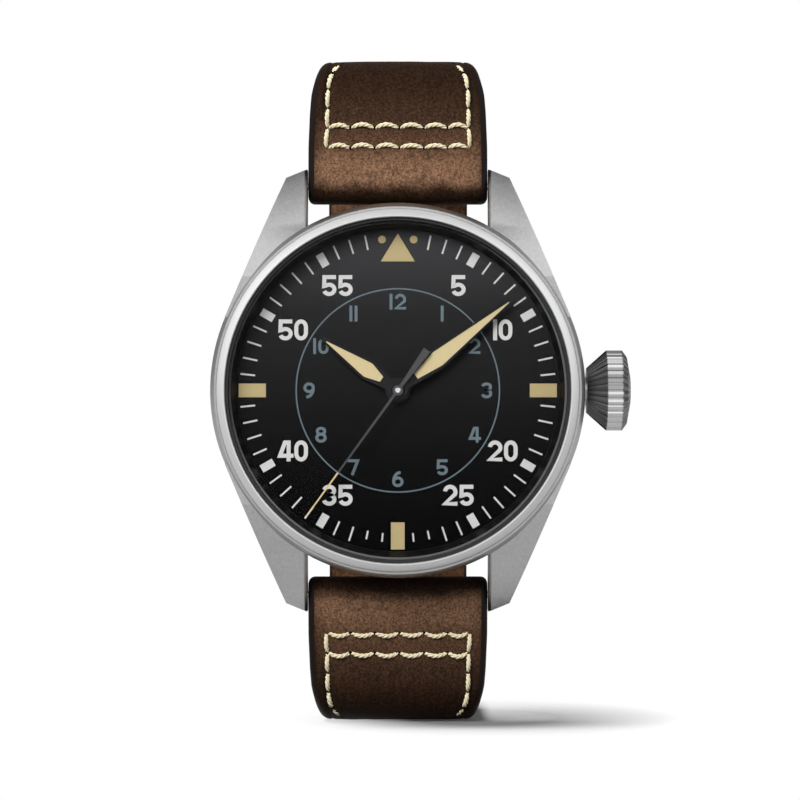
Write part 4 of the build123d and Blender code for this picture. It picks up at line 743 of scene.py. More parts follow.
@dataclass(frozen=True)
class Digits:
    """Plain rounded digits, each drawn with strokes of one width."""

    height: float
    width: float
    stroke: float
    gap: float
    narrow_zero: float = 0.92

    def strokes(self, digit: str) -> list[Line]:
        """Gives the middle lines of a digit's strokes.

        Args:
            digit: The digit.

        Returns:
            Each stroke's points, and whether it is a closed loop.
        """
        left, right = self.stroke / 2, self.width - self.stroke / 2
        low, top = self.stroke / 2, self.height - self.stroke / 2
        middle, reach, rise = self.width / 2, (right - left) / 2, top - low
        bowl = 0.265 * rise
        match digit:
            case "0":
                ends = reach * 1.12
                loop = arc((middle, top - ends), reach, ends, 180, 0)
                return [(loop + arc((middle, low + ends), reach, ends, 0, -180), True)]
            case "1":
                return [([(left, 0), (left, self.height)], False)]
            case "2":
                over = arc((middle, top - reach), reach, reach, 172, -28)
                return [([*over, (left, low), (self.width, low)], False)]
            case "3":
                over = arc((middle, top - 0.24 * rise), reach * 0.95, 0.24 * rise, 165, -90)
                under = arc((middle, low + 0.26 * rise), reach, 0.26 * rise, 90, -165)
                nub = (middle - reach * 0.3, low + 0.52 * rise)
                return [([*over, nub], False), ([nub, *under], False)]
            case "4":
                post, bar, lean = self.width * 0.72, self.height * 0.27, self.width * 0.47
                hook = [(post, top), (lean, top), (left * 0.9, bar), (self.width * 1.06, bar)]
                return [(hook, False), ([(post, self.height), (post, 0)], False)]
            case "5":
                under = arc((middle, low + bowl * 1.04), reach, bowl * 1.04, 128, -158)
                shoulder = (left + 0.02, low + rise * 0.47)
                return [([(self.width - 0.1 * self.stroke, top), (left + 0.06, top), shoulder, *under], False)]
            case "6" | "9":
                round_part = arc((middle, low + bowl * 1.12), reach, bowl * 1.12, 180, -180)
                stem = arc((left + reach * 1.5, low + bowl * 1.12), reach * 1.5, rise - bowl * 1.12, 84, 180)
                lines = [(round_part[:-1], True), (stem, False)]
                if digit == "9":
                    lines = [([(self.width - x, self.height - y) for x, y in line], loop) for line, loop in lines]
                return lines
            case "7":
                return [([(0, top), (right, top), (self.width * 0.38, 0)], False)]
        small = arc((middle, top - 0.23 * rise), reach * 0.88, 0.23 * rise, 180, -180)
        large = arc((middle, low + 0.27 * rise), reach, 0.27 * rise, 180, -180)
        return [(small[:-1], True), (large[:-1], True)]

    def lines(self, number: int, centre: Point) -> list[Line]:
        """Places a number's strokes round a centre.

        Args:
            number: The number to write.
            centre: Middle of the number on the dial.

        Returns:
            Each stroke's points on the dial, and whether it is a closed loop.
        """
        shares = [self.narrow_zero if digit == "0" else 1.0 for digit in str(number)]
        widths = [self.stroke if digit == "1" else self.width * share for digit, share in zip(str(number), shares)]
        across = centre[0] - (sum(widths) + self.gap * (len(widths) - 1)) / 2
        placed = []
        for digit, share, width in zip(str(number), shares, widths):
            for line, loop in self.strokes(digit):
                placed.append(([(across + x * share, centre[1] - self.height / 2 + y) for x, y in line], loop))
            across += width + self.gap
        return placed


@dataclass
class Printing:
    """Thin raised print of the dial: ticks, blocks, numerals and the hour circle."""

    face: float = 9.6
    thickness: float = 0.03
    sunk: float = 0.01
    step: float = 0.002
    tick: tuple[float, float, float] = (16.42, 18.1, 0.2)
    short_tick: tuple[float, float, float] = (16.42, 17.4, 0.2)
    block: tuple[float, float, float] = (16.4, 18.0, 0.92)
    circle_radius: float = 11.63
    circle_width: float = 0.15
    minute_orbit: float = 13.85
    hour_orbit: float = 10.15
    minute_digits: Digits = Digits(2.4, 1.66, 0.46, 0.2)
    hour_digits: Digits = Digits(1.82, 1.3, 0.33, 0.26)
    cut_ticks: tuple[int, ...] = (28, 29, 31, 32)
    bare_minutes: tuple[int, ...] = (59, 0, 1, 15, 30, 45)

    def ribbon(self, shape: Shape, line: Sequence[Point], width: float, looped: bool = False) -> None:
        """Adds a stroke of even width with flat ends, its face a little off those beside it.

        Args:
            shape: Shape that takes it.
            line: Its middle line.
            width: Its width.
            looped: Whether it closes on itself.
        """
        rings = []
        top, foot = -self.face - self.thickness - self.step * (len(shape.corners) % 7), self.sunk - self.face
        for number, place in enumerate(line):
            here = Vector(place)
            into = (here - Vector(line[number - 1])).normalized()
            out = (Vector(line[(number + 1) % len(line)]) - here).normalized()
            if not looped and number == 0:
                into = out
            if not looped and number == len(line) - 1:
                out = into
            side = Vector((-into.y - out.y, into.x + out.x)).normalized()
            reach = min(1.9, 1 / max(0.3, side.dot(Vector((-into.y, into.x))))) * width / 2
            left, right = here + side * reach, here - side * reach
            around = ((left, top), (right, top), (right, foot), (left, foot))
            rings.append([Vector((spot.x, level, spot.y)) for spot, level in around])
        shape.loft(rings, looped)

    def marks(self) -> tuple[Shape, Shape]:
        """Gives the ticks, and the blocks of the five minutes.

        Returns:
            Both shapes.
        """
        ticks, blocks = Shape(), Shape()
        for minute in range(60):
            at_block = minute % 5 == 0 and minute % 15 != 0
            mark = self.block if at_block else self.short_tick if minute in self.cut_ticks else self.tick
            if minute not in self.bare_minutes:
                spoke = [polar(radius, 6 * minute) for radius in (mark[1], mark[0])]
                self.ribbon(blocks if at_block else ticks, spoke, mark[2])
        return ticks, blocks

    def build(self) -> None:
        """Prints the dial."""
        ticks, blocks = self.marks()
        circles, minutes, hours = Shape(), Shape(), Shape()
        ring = [polar(self.circle_radius, 2 * step) for step in range(180)]
        self.ribbon(circles, ring, self.circle_width, True)
        for shape, digits, orbit, turn, numbers in (
            (minutes, self.minute_digits, self.minute_orbit, 6, (5, 10, 20, 25, 35, 40, 50, 55)),
            (hours, self.hour_digits, self.hour_orbit, 30, range(1, 13)),
        ):
            for number in numbers:
                for line, loop in digits.lines(number, polar(orbit, turn * number)):
                    self.ribbon(shape, line, digits.stroke, loop)
        for shape, name, finish in (
            (ticks, "minute_ticks", WHITE_PRINT),
            (blocks, "five_minute_blocks", WHITE_PRINT),
            (circles, "hour_circle", GREY_PRINT),
            (minutes, "minute_numerals", WHITE_PRINT),
            (hours, "hour_numerals", GREY_PRINT),
        ):
            shape.build(name, HEAD, "dial_markers", [finish])


@dataclass
class Face(Assembly):
    """Dial, flange, markers and hands."""

    finishes: Coats = (
        (DIAL_BLACK, 0.0, "dial"),
        (DARK_RING, 0.0, "flange_ring"),
        (LUME, 0.03, "dial_markers"),
        (HAND_BLACK, 0.05, "hour_hand minute_hand"),
        (SECONDS_BLACK, 0.03, "seconds_hand"),
        (HOUR_FILL, 0.02, "hour_hand_lume"),
        (MINUTE_FILL, 0.02, "minute_hand_lume"),
    )
    printing: Printing = field(default_factory=Printing)
    pin_profile: tuple[Point, ...] = (
        (0.33, 0.0), (0.33, -0.07), (0.29, -0.12), (0.2, -0.16), (0.12, -0.15), (0.07, -0.1), (0.05, -0.1),
    )

    def pin(self) -> None:
        """Turns the polished end of the arbor that the seconds hand is pressed on."""
        shape, front = Shape(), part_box("seconds_hand")[0][1] / MM
        shape.loft([
            [Vector((radius * math.sin(t), front + rise, radius * math.cos(t))) for t in circle(32)]
            for radius, rise in self.pin_profile
        ])
        shape.build("seconds_arbor_end", "seconds_hand", "seconds_hand", [PIN_POLISH], 40)

    def build(self) -> None:
        """Dresses the face and prints the dial."""
        self.dress()
        self.pin()
        self.printing.build()


@dataclass
class StrapHalf:
    """One half of the strap, swept along its side view from the spring bar round the loop.

    Tables hold (distance along the outer face from the spring bar, value) pairs. The groove's
    and the crease's places, and those of the edge's rows, are distances in from the side.
    """

    name: str
    sign: int
    back_depth: float
    back_centre: float
    end_height: float
    round_end: bool
    thickness: float = 3.4
    bar_place: Point = (-3.6, 23.7)
    fold_radius: float = 2.1
    bend_start: float = 27.5
    slow_radius: float = 40.0
    slow_turn: float = 10.0
    crest_centre: Point = (-0.142, 33.573)
    crest_radius: float = 5.027
    back_radius: float = 14.0
    half_height: float = 38.6
    buckle_bar: Point = (44.3, 7.0)
    corner: float = 0.8
    tip_length: float = 4.0
    tip_bulge: float = 0.35
    station_step: float = 0.8
    open_turn: float = 0.6
    edge_places: tuple[float, ...] = (0.0, 0.1, 0.25, 0.45, 0.7, 1.0, 1.3, 1.5, 1.65, 1.8, 2.0, 2.3, 2.7)
    lining_places: tuple[float, ...] = (0.0, 0.12, 0.3, 0.55)
    edge_faces: int = 4
    round_table: tuple[Point, ...] = ((9.0, 0.7), (14.0, 1.35), (40.0, 1.35), (50.0, 0.8))
    width_table: tuple[Point, ...] = (
        (0.0, 10.38), (4.5, 10.36), (8.6, 10.2), (10.7, 10.05), (13.0, 9.75), (15.5, 9.4), (18.5, 9.05), (24.0, 9.0),
    )
    swell_table: tuple[Point, ...] = (
        (-3.3, 0.0), (1.8, 0.0), (3.6, 0.22), (4.4, 0.34), (6.7, 0.34), (8.0, 0.2), (11.0, 0.12), (14.0, 0.03),
        (40.0, 0.03),
    )
    crease_table: tuple[Point, ...] = ((7.0, 0.0), (9.0, 0.7))
    groove: Point = (1.6, 0.16)
    groove_depth: float = 0.09
    crease: Point = (1.55, 0.3)
    worn_edge: Point = (0.0, 0.95)
    edge_wear: float = 0.85
    edge_fall: float = 1.07
    swell_edge: float = 1.2
    dish: float = 0.12
    waver: float = 0.05
    lining_fall: float = 0.5
    lining_sunk: float = 0.02
    deepest: float = 0.45
    thinnest: float = 0.2
    closed_span: float = 0.5
    closed_share: float = 0.3
    rows: list[tuple[float, Point, Point]] = field(default_factory=list)

    def side_view(self) -> list[tuple[float, Point, Point]]:
        """Walks along the half.

        Returns:
            Stations of (distance along the outer face, outer point, inner point), points as (y, z).
        """
        (depth, height), fold, thick = self.bar_place, self.fold_radius, self.thickness
        front, middle = depth - fold, self.half_height - self.back_radius
        pairs: list[tuple[Point, Point]] = []

        def nose(centre: Point, radius: float, turns: Sequence[float]) -> None:
            """Adds the stations of a rounded end, with a negative radius for one that faces the other way."""
            for y, z in ((radius * math.cos(t), abs(radius) * math.sin(t)) for t in map(math.radians, turns)):
                pairs.append(((centre[0] + y, centre[1] - z), (centre[0] - y, centre[1] - z)))

        def run(steps: int, outer: tuple[Point, Point], inner: tuple[Point, Point]) -> None:
            """Adds the stations of a straight stretch from the first points to the last ones."""
            for share in (step / steps for step in range(1, steps + 1)):
                pairs.append(tuple((a + (c - a) * share, b + (d - b) * share) for (a, b), (c, d) in (outer, inner)))

        def bend(steps: int, centre: Point, radius: float, start: float, end: float) -> None:
            """Adds the stations of a bend, by its angles from the -Y side upwards.

            Args:
                steps: Number of stations.
                centre: Centre of the bend as (y, z).
                radius: Radius of the outer face.
                start: First angle in degrees, which has its station already.
                end: Last angle.
            """
            for t in (math.radians(start + (end - start) * step / steps) for step in range(1, steps + 1)):
                pairs.append(tuple(
                    (centre[0] - r * math.cos(t), centre[1] + r * math.sin(t)) for r in (radius, radius - thick)
                ))

        turns = [90 / 8 * step - self.open_turn for step in range(9)]
        nose(self.bar_place, -fold, [90 - turn for turn in turns])
        level, crest = self.bend_start, self.crest_centre[0]
        run(9, ((front, height), (front, level)), ((depth + fold, height), (front + thick, level)))
        bend(17, (front + self.slow_radius, level), self.slow_radius, 0.0, self.slow_turn)
        bend(16, self.crest_centre, self.crest_radius, self.slow_turn, 90.0)
        top = self.half_height
        run(32, *(((crest, level), (self.back_centre, level)) for level in (top, top - thick)))
        bend(20, (self.back_centre, middle), self.back_radius, 90.0, 180.0)
        count = round((middle - self.end_height) / self.station_step)
        run(count, *(((y, middle), (y, self.end_height)) for y in (self.back_depth, self.back_depth - thick)))
        if self.round_end:
            nose((self.back_depth - thick / 2, self.end_height), thick / 2, turns[1:])
        stations = [(-fold * math.pi / 2, *pairs[0])]
        for outer, inner in pairs[1:]:
            stations.append((stations[-1][0] + math.dist(stations[-1][1], outer), outer, inner))
        return stations

    def half_width(self, walked: float, height: float) -> float:
        """Gives half the width at a station.

        Args:
            walked: Distance along the outer face.
            height: Height of the station's outer point.

        Returns:
            Half the width, with round corners at the bar and drawn in at the tail's tip.
        """
        half = between(self.width_table, walked)
        if walked < 10:
            half -= self.corner * rounding(height - self.bar_place[1] + self.fold_radius, self.corner)
        if not self.round_end and walked > 60:
            tip = min(self.tip_length, height - self.end_height)
            half += self.tip_bulge * math.sin(math.pi * tip / self.tip_length) - (self.tip_length - tip)
        return half

    def front_sunk(self, across: float, half: float, walked: float, spot: Vector) -> float:
        """Gives how deep the outer face lies below the plain sweep.

        Args:
            across: Place across the half.
            half: Half the width.
            walked: Distance along the outer face.
            spot: Where its unevenness is read.

        Returns:
            The depth: round edge, groove along it, hollow by the seams, dish and unevenness.
        """
        inset = half - abs(across)
        soft = between(self.round_table, walked)
        sunk = self.edge_fall * soft * rounding(inset, soft) + self.groove_depth * bell(inset, *self.groove)
        hollow = between(self.swell_table, walked) * min(1.0, inset / self.swell_edge)
        return sunk + (hollow + self.dish * (across / half) ** 2) + self.waver * noise.noise(spot)

    def share(self, sunk: float, span: float) -> float:
        """Gives which share of the strap's thickness a depth is, short of its middle."""
        return min(self.deepest, sunk / max(span, self.thinnest))

    def skin(self) -> Shape:
        """Builds the half's closed skin of leather, painted edges and lining.

        Returns:
            The skin, with a burnish for every corner.
        """
        edges, lining, rings, shape = self.edge_places, self.lining_places, [], Shape()
        wave = Vector((self.sign * 7.3, 1.9, 4.1))
        self.rows = self.side_view()
        for walked, outer, inner in self.rows:
            half, span = self.half_width(walked, outer[1]), math.dist(outer, inner)
            inside = half - edges[-1]
            front = [e - half for e in edges] + [-inside + 2 * inside * step / 26 for step in range(1, 26)]
            front += [half - e for e in reversed(edges)]
            back = [half - e for e in lining] + [half * (1 - step / 4) for step in range(1, 8)]
            back += [e - half for e in reversed(lining)]
            ring = []
            for x in front:
                spot = Vector((x * 0.5, outer[0] * 0.5, outer[1] * 0.5)) + wave
                share = self.share(self.front_sunk(x, half, walked, spot), span)
                ring.append((x, outer, inner, share if span > self.closed_span else self.closed_share))
                creased = between(self.crease_table, walked) * bell(half - abs(x), *self.crease)
                shape.burnish.append(max(creased, self.edge_wear * bell(half - abs(x), *self.worn_edge)))
            for x in back:
                sunk = self.lining_fall * rounding(half - abs(x), lining[-1]) + self.lining_sunk
                ring.append((x, inner, outer, self.share(sunk, span)))
            shape.burnish += [0.0] * len(back)
            rings.append([
                Vector((x, a[0] + (b[0] - a[0]) * share, self.sign * (a[1] + (b[1] - a[1]) * share)))
                for x, a, b, share in ring
            ])
        last, width = len(front) - 1, self.edge_faces

        def tone(side: int) -> int:
            """Numbers the finish of a face: leather, edge paint or lining.

            Args:
                side: Number of the face round the half.

            Returns:
                Its finish's number.
            """
            if side <= last:
                return int(side < width or side >= last - width)
            return 1 if side < last + 3 or side >= len(rings[0]) - 3 else 2

        shape.loft(rings, False, tone)
        return shape

    def cut(self, piece: Piece, rings: Rings) -> None:
        """Cuts a hole through the half.

        Args:
            piece: The half.
            rings: Both ends of the hole.
        """
        cutter = Shape()
        cutter.loft(rings)
        tool = place_mesh("cutter", cutter.corners, cutter.faces)
        cut = piece.modifiers.new("cut", "BOOLEAN")
        cut.object, cut.operation, cut.solver = tool, "DIFFERENCE", "EXACT"
        graph = bpy.context.evaluated_depsgraph_get()
        done = bpy.data.meshes.new_from_object(piece.evaluated_get(graph))
        piece.modifiers.clear()
        piece.data = done
        bpy.data.objects.remove(tool)

    def bore(self, place: Point, radius: float, reach: float = 13.0) -> Rings:
        """Gives both ends of a bore across the half."""
        spots = [(place[0] + radius * math.cos(t), self.sign * place[1] + radius * math.sin(t)) for t in circle(24)]
        return [[Vector((x, *spot)) for spot in spots] for x in (-reach, reach)]

    def slot(self, radius: float, low: float, high: float, levels: Point) -> Rings:
        """Gives both ends of a slot with round ends through the strap's back run.

        Args:
            radius: Radius of its round ends.
            low: Its lower end.
            high: Its upper end.
            levels: Where it starts and ends on the way through.

        Returns:
            The ends.
        """
        outline = arc((0.0, high - radius), radius, radius, 0, 180)
        outline += arc((0.0, low + radius), radius, radius, 180, 360)
        return [[Vector((x, y, z)) for x, z in outline] for y in levels]

    def place(self, walked: float, across: float, proud: float) -> Vector:
        """Gives a place on the outer face.

        Args:
            walked: Distance along the outer face.
            across: Place across the width.
            proud: Height over the face.

        Returns:
            The place.
        """
        number = next(n for n, row in enumerate(self.rows[1:]) if walked <= row[0])
        (start, outer, inner), (end, next_outer, next_inner) = self.rows[number : number + 2]
        share = max(0.0, (walked - start) / (end - start))
        out, into = Vector(outer).lerp(Vector(next_outer), share), Vector(inner).lerp(Vector(next_inner), share)
        dished = self.dish * (across / between(self.width_table, walked)) ** 2
        spot = out + (out - into).normalized() * (proud - between(self.swell_table, walked) - dished)
        return Vector((across, spot[0], self.sign * spot[1]))


@dataclass
class Stitching:
    """Twisted linen stitches along one strap half, with dark patches of painted shade at the holes that they go into.
    """

    strap: StrapHalf
    end: float
    row_places: Point = (4.4, 6.75)
    row_marks: tuple[float, ...] = (-8.1, -5.5, -2.7, 0.15, 3.0, 5.75, 8.15)
    seed: int = 11
    row_bow: float = 0.33
    row_spread: float = 0.06
    row_gap: float = 0.1
    row_hole_shift: float = 0.02
    row_hole: Point = (0.2, 0.2)
    seam_hole: Point = (0.17, 0.16)
    hole_rings: tuple[Point, ...] = ((-0.1, 0.8), (0.02, 1.0), (0.045, 0.6))
    pitch: float = 2.3
    seam_gap: float = 0.12
    seam_bow: float = 0.06
    fine_end: float = 24.0
    sunk_end: float = 0.22
    lift: float = 0.42
    fullness: float = 0.6
    end_taper: float = 0.75
    plies: int = 3
    ply_radius: float = 0.14
    lay_radius: float = 0.145
    turns_per_mm: float = 0.62
    line_table: tuple[Point, ...] = (
        (4.4, 8.3), (6.75, 8.15), (10.0, 8.1), (11.8, 8.05), (13.2, 7.8), (14.5, 7.25), (16.1, 6.4), (18.0, 6.1),
        (30.0, 6.6),
    )
    press_table: tuple[Point, ...] = (
        (13.0, 0.0), (16.0, 0.55), (56.0, 0.55), (62.0, 0.0), (88.0, 0.0), (92.0, 0.22),
    )

    def stitch(self, shape: Shape, start: Point, end: Point, bow: Point, fine: bool) -> None:
        """Adds a stitch.

        Args:
            shape: Shape that takes it.
            start: (distance along, place across) of its first hole.
            end: The same of its last hole.
            bow: How far its middle bows (along, across).
            fine: Whether it is seen from the front.
        """
        steps, sides = (16, 8) if fine else (8, 5)
        line = []
        for share in (step / steps for step in range(steps + 1)):
            arch = math.sin(math.pi * share)
            walked, across = (a + (b - a) * share + c * arch for a, b, c in zip(start, end, bow))
            proud = self.lift * arch**self.fullness - self.sunk_end - between(self.press_table, walked)
            line.append(self.strap.place(walked, across, proud))
        length = (line[-1] - line[0]).length
        for ply in range(self.plies):
            rings = []
            for step, spot in enumerate(line):
                ahead = (line[min(step + 1, steps)] - line[max(step - 1, 0)]).normalized()
                side = ahead.cross(ASKEW).normalized()
                up = side.cross(ahead)
                turn = math.tau * (ply / self.plies + self.turns_per_mm * length * step / steps)
                taper = self.end_taper + (1 - self.end_taper) * math.sin(math.pi * step / steps)
                core = spot + (side * math.cos(turn) + up * math.sin(turn)) * self.lay_radius * taper
                rings.append([
                    core + (side * math.cos(t) + up * math.sin(t)) * self.ply_radius * taper for t in circle(sides)
                ])
            shape.loft(rings)

    def hole(self, shape: Shape, walked: float, across: float, size: Point) -> None:
        """Adds a dark patch of painted shade at the hole that two stitches go into.

        Args:
            shape: Shape that takes it.
            walked: Its distance along.
            across: Its place across.
            size: Its half length and half width.
        """
        shape.loft([
            [
                self.strap.place(walked + size[0] * share * math.sin(t), across + size[1] * share * math.cos(t), rise)
                for t in circle(10)
            ]
            for rise, share in self.hole_rings
        ])

    def build(self) -> None:
        """Sews the rows across the half and the seams along its sides."""
        thread, holes, marks, gap = Shape(), Shape(), self.row_marks, self.row_gap
        dice = random.Random(self.seed + self.strap.sign)
        for walked in self.row_places:
            for first, last in zip(marks, marks[1:]):
                bow = self.row_bow + dice.uniform(-self.row_spread, self.row_spread)
                self.stitch(thread, (walked, first + gap), (walked, last - gap), (bow, 0.0), True)
            for mark in marks[1:-1]:
                self.hole(holes, walked - self.row_hole_shift, mark, self.row_hole)
        steps, gap = list(self.row_places), self.seam_gap
        while steps[-1] + self.pitch < self.end:
            steps.append(steps[-1] + self.pitch)
        for side in (-1, 1):
            for first, last in zip(steps, steps[1:]):
                across, after = (side * between(self.line_table, walked) for walked in (first, last))
                bow, fine = (0.0, side * self.seam_bow), first < self.fine_end
                self.stitch(thread, (first + gap, across), (last - gap, after), bow, fine)
                self.hole(holes, last, after, self.seam_hole)
        name = self.strap.name
        thread.build(f"{name}_stitching", HEAD, name, [THREAD], 60)
        holes.build(f"{name}_stitch_hole_shade", HEAD, name, [SHADE])


def rounded(half_width: float, half_height: float, radius: float, steps: int) -> list[tuple[Point, Point]]:
    """Walks round a rectangle with round corners.

    Args:
        half_width: Half its width.
        half_height: Half its height.
        radius: Radius of its corners.
        steps: Steps in each corner.

    Returns:
        Each place on the way and the direction out of it.
    """
    walk = []
    for quarter, (sx, sy) in enumerate(((1, 1), (-1, 1), (-1, -1), (1, -1))):
        for step in range(steps + 1):
            turn = math.radians(90 * (quarter + step / steps))
            x, y = math.cos(turn), math.sin(turn)
            walk.append(((sx * (half_width - radius) + radius * x, sy * (half_height - radius) + radius * y), (x, y)))
    return walk


@dataclass
class Keeper:
    """Leather loop that holds the strap's tail, with rounded, painted edges."""

    name: str
    body: str
    low: float
    high: float
    inner_half: float = 9.2
    front: float = 42.4
    back: float = 49.7
    wall: float = 0.9
    corner: float = 0.9
    edge_radius: float = 0.3
    leather_sides: tuple[int, ...] = (9, 19)

    def build(self) -> None:
        """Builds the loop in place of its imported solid."""
        middle, level, wall = (self.front + self.back) / 2, (self.low + self.high) / 2, self.wall / 2
        loop = rounded(self.inner_half + wall, (self.back - self.front) / 2 + wall, self.corner + wall, 8)
        section = [spot for spot, _ in rounded(wall, (self.high - self.low) / 2, self.edge_radius, 4)]
        shape = Shape()
        rings = [
            [Vector((spot[0] + away[0] * out, middle + spot[1] + away[1] * out, level + up)) for out, up in section]
            for spot, away in loop
        ]
        shape.loft(rings, True, lambda side: int(side not in self.leather_sides))
        piece = shape.build(f"{self.name}_leather", self.body, self.name, [LEATHER, EDGE_PAINT])
        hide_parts(self.name)


@dataclass
class Strap(Assembly):
    """Both halves of the strap, their stitches, the keepers and the buckle."""

    finishes: Coats = (
        (TITANIUM, 0.06, "buckle_frame buckle_tongue"),
        (STEEL, 0.0, "buckle_bar"),
    )
    upper: StrapHalf = field(default_factory=lambda: StrapHalf("strap_upper", 1, 46.0, 32.0, 7.0, True))
    lower: StrapHalf = field(default_factory=lambda: StrapHalf("strap_lower", -1, 49.5, 35.5, -22.8, False))
    bar_bore: float = 0.97
    buckle_bore: float = 0.67
    tongue_slot: Point = (3.6, 10.4)
    hole_middles: tuple[float, ...] = (6.3, -0.3, -6.9, -13.5, -20.1)
    hole_reach: float = 2.3

    def build(self) -> None:
        """Builds the strap and dresses the buckle."""
        for half in (self.upper, self.lower):
            piece = half.skin().build(f"{half.name}_leather", HEAD, half.name, [LEATHER, EDGE_PAINT, LINING], 50)
            half.cut(piece, half.bore(half.bar_place, self.bar_bore))
            if half.round_end:
                half.cut(piece, half.bore(half.buckle_bar, self.buckle_bore))
                half.cut(piece, half.slot(1.0, *self.tongue_slot, (40.0, 48.0)))
            else:
                for middle in self.hole_middles:
                    half.cut(piece, half.slot(1.1, middle - self.hole_reach, middle + self.hole_reach, (44.0, 52.0)))
            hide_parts(half.name)
        Stitching(self.upper, 92.0).build()
        Stitching(self.lower, 118.6).build()
        Keeper("fixed_keeper", HEAD, 11.2, 15.2).build()
        Keeper("free_keeper", "free_keeper", 18.0, 22.0).build()
        self.dress()


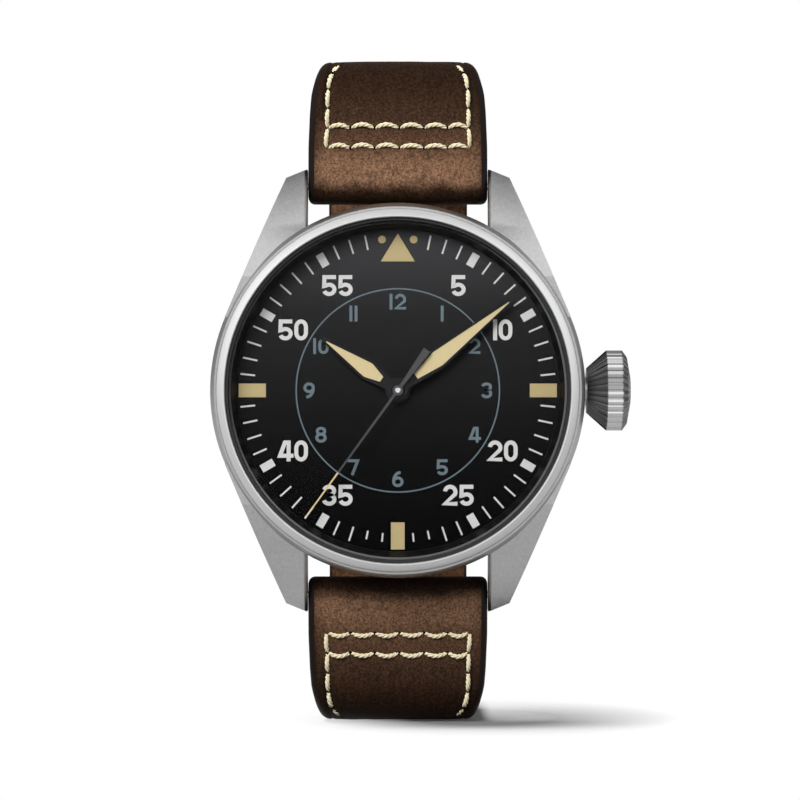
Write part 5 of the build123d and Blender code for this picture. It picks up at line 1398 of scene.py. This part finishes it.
@dataclass
class Studio:
    """White floor and surroundings, soft lamps and the camera."""

    floor_level: float = -38.62
    floor_half: float = 1600.0
    floor_tone: float = 0.23
    floor_light: float = 0.04
    floor_glow: float = 0.65
    shadow_middle: Point = (10.0, 3.0)
    shadow_reach: Point = (9.0, 23.0)
    distance: float = 375.0
    dial_level: float = 9.6
    aim: Point = (0.25, -1.1)
    frame_width: float = 91.53
    sensor: float = 36.0
    soft_light: float = 0.3
    mirror_peak: float = 1.4
    dim_behind: float = 0.78
    dim_reach: float = 0.3
    lamps: tuple[tuple[str, Colour, Point, float], ...] = (
        ("key", (-150.0, -320.0, 230.0), (240.0, 200.0), 1.75),
        ("fill", (260.0, -220.0, 60.0), (160.0, 220.0), 0.15),
        ("top", (-60.0, 40.0, 300.0), (240.0, 200.0), 0.35),
    )
    floor_lamp: tuple[str, Colour, Point, float] = ("floor_spill", (-170.0, -30.0, 330.0), (150.0, 150.0), 5.5)
    mirrored: tuple[Point, ...] = (
        (-1.0, 0.15), (-0.92, 0.25), (-0.8, 0.5), (-0.6, 0.75), (-0.2, 0.8), (0.0, 0.95),
        (0.3, 1.3), (0.56, 1.4), (0.76, 1.05), (0.87, 0.6), (0.96, 0.22), (1.0, 0.15),
    )

    def seen(self, graph: Graph, mirrored: object) -> Socket:
        """Gives 1 to the camera and through glass, a level of its own in a mirror, and else 0.

        Args:
            graph: Graph that the nodes go into.
            mirrored: The level in a mirror.

        Returns:
            The level.
        """
        camera, glass, glossy = (
            graph.node("LightPath", out=f"Is {ray} Ray") for ray in ("Camera", "Transmission", "Glossy")
        )
        return graph.math("MAXIMUM", graph.math("MAXIMUM", camera, glass), graph.math("MULTIPLY", glossy, mirrored))

    def floor(self) -> Piece:
        """Lays a floor that takes the shadow by the watch and is plain white farther out.

        Returns:
            The floor.
        """
        half, level = self.floor_half, self.floor_level
        spots = ((-half, -half), (half, -half), (half, half), (-half, half))
        piece = place_mesh("floor", [Vector((*spot, level)) for spot in spots], [(0, 1, 2, 3)])
        piece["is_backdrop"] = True
        material = bpy.data.materials.new("white_floor")
        graph = Graph(material)
        seen = self.seen(graph, self.floor_glow)
        glow = graph.node("Emission", WHITE, graph.math("MULTIPLY", seen, self.floor_light))
        near = graph.node("AddShader", graph.node("BsdfDiffuse", 3 * (self.floor_tone,)), glow)
        far = graph.vector("DISTANCE", graph.even(1.0), (*self.shadow_middle, level), out="Value")
        share = graph.span(far, *self.shadow_reach)
        graph.close(graph.node("MixShader", share, near, graph.node("Emission", WHITE, seen)))
        piece.data.materials.append(material)
        return piece

    def world(self) -> None:
        """Surrounds the watch with white that lights it softly, and that metal mirrors by direction."""
        world = bpy.data.worlds.new("studio")
        bpy.context.scene.world = world
        graph, peak = Graph(world, "Generated"), self.mirror_peak
        up, behind = (graph.node("SeparateXYZ", graph.places, out=name) for name in ("Z", "Y"))
        profile = graph.ramp(up, [(height, 3 * (value / peak,)) for height, value in self.mirrored])
        fall = graph.span(behind, 0.0, self.dim_reach, peak, peak * (1 - self.dim_behind))
        seen = self.seen(graph, graph.math("MULTIPLY", profile, fall))
        graph.close(graph.node("Background", WHITE, graph.math("MAXIMUM", seen, self.soft_light)), "World")

    def lamp(self, name: str, place: Colour, size: Point, power: float) -> Piece:
        """Hangs a soft lamp that points at the watch.

        Args:
            name: Its name.
            place: Its place.
            size: Its width and height.
            power: Its power in watts.

        Returns:
            The lamp.
        """
        data = bpy.data.lights.new(name, "AREA")
        data.shape, data.size, data.size_y, data.energy = "RECTANGLE", size[0] * MM, size[1] * MM, power
        lamp = bpy.data.objects.new(name, data)
        lamp.location = Vector(place) * MM
        lamp.rotation_euler = (-lamp.location).to_track_quat("-Z", "Y").to_euler()
        lamp.visible_glossy = False
        bpy.context.scene.collection.objects.link(lamp)
        return lamp

    def camera(self) -> None:
        """Sets the camera up in front of the dial, as far off and as wide as the photograph's."""
        data = bpy.data.cameras.new("camera")
        data.sensor_width, data.clip_start = self.sensor, 0.01
        data.lens = self.sensor * self.distance / self.frame_width
        camera = bpy.data.objects.new("camera", data)
        camera.location = Vector((self.aim[0], -self.distance - self.dial_level, self.aim[1])) * MM
        camera.rotation_euler = (math.radians(90), 0.0, 0.0)
        bpy.context.scene.collection.objects.link(camera)
        bpy.context.scene.camera = camera
        bpy.context.scene.view_settings.view_transform = "Standard"

    def build(self) -> None:
        """Sets up floor, surroundings, lamps and camera, with one lamp for the floor alone."""
        floor = self.floor()
        self.world()
        for values in self.lamps:
            self.lamp(*values)
        only_floor = bpy.data.collections.new("floor_only")
        only_floor.objects.link(floor)
        self.lamp(*self.floor_lamp).light_linking.receiver_collection = only_floor
        self.camera()


def corners(box: tuple[Vector, Vector]) -> list[list[float]]:
    """Gives a box as plain lists of numbers."""
    return [list(corner) for corner in box]


def main() -> None:
    """Builds every sub-assembly and works out the bounds before and after."""
    logging.basicConfig(level=logging.INFO, format="%(message)s")
    solids = corners(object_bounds())
    for part in (Head(), Movement(), Face(), Strap(), Studio()):
        part.build()
        log.info("%s done", type(part).__name__)
    bpy.context.view_layer.update()
    {"cad": solids, "visual": corners(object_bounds())}


if __name__ == "__main__":
    main()
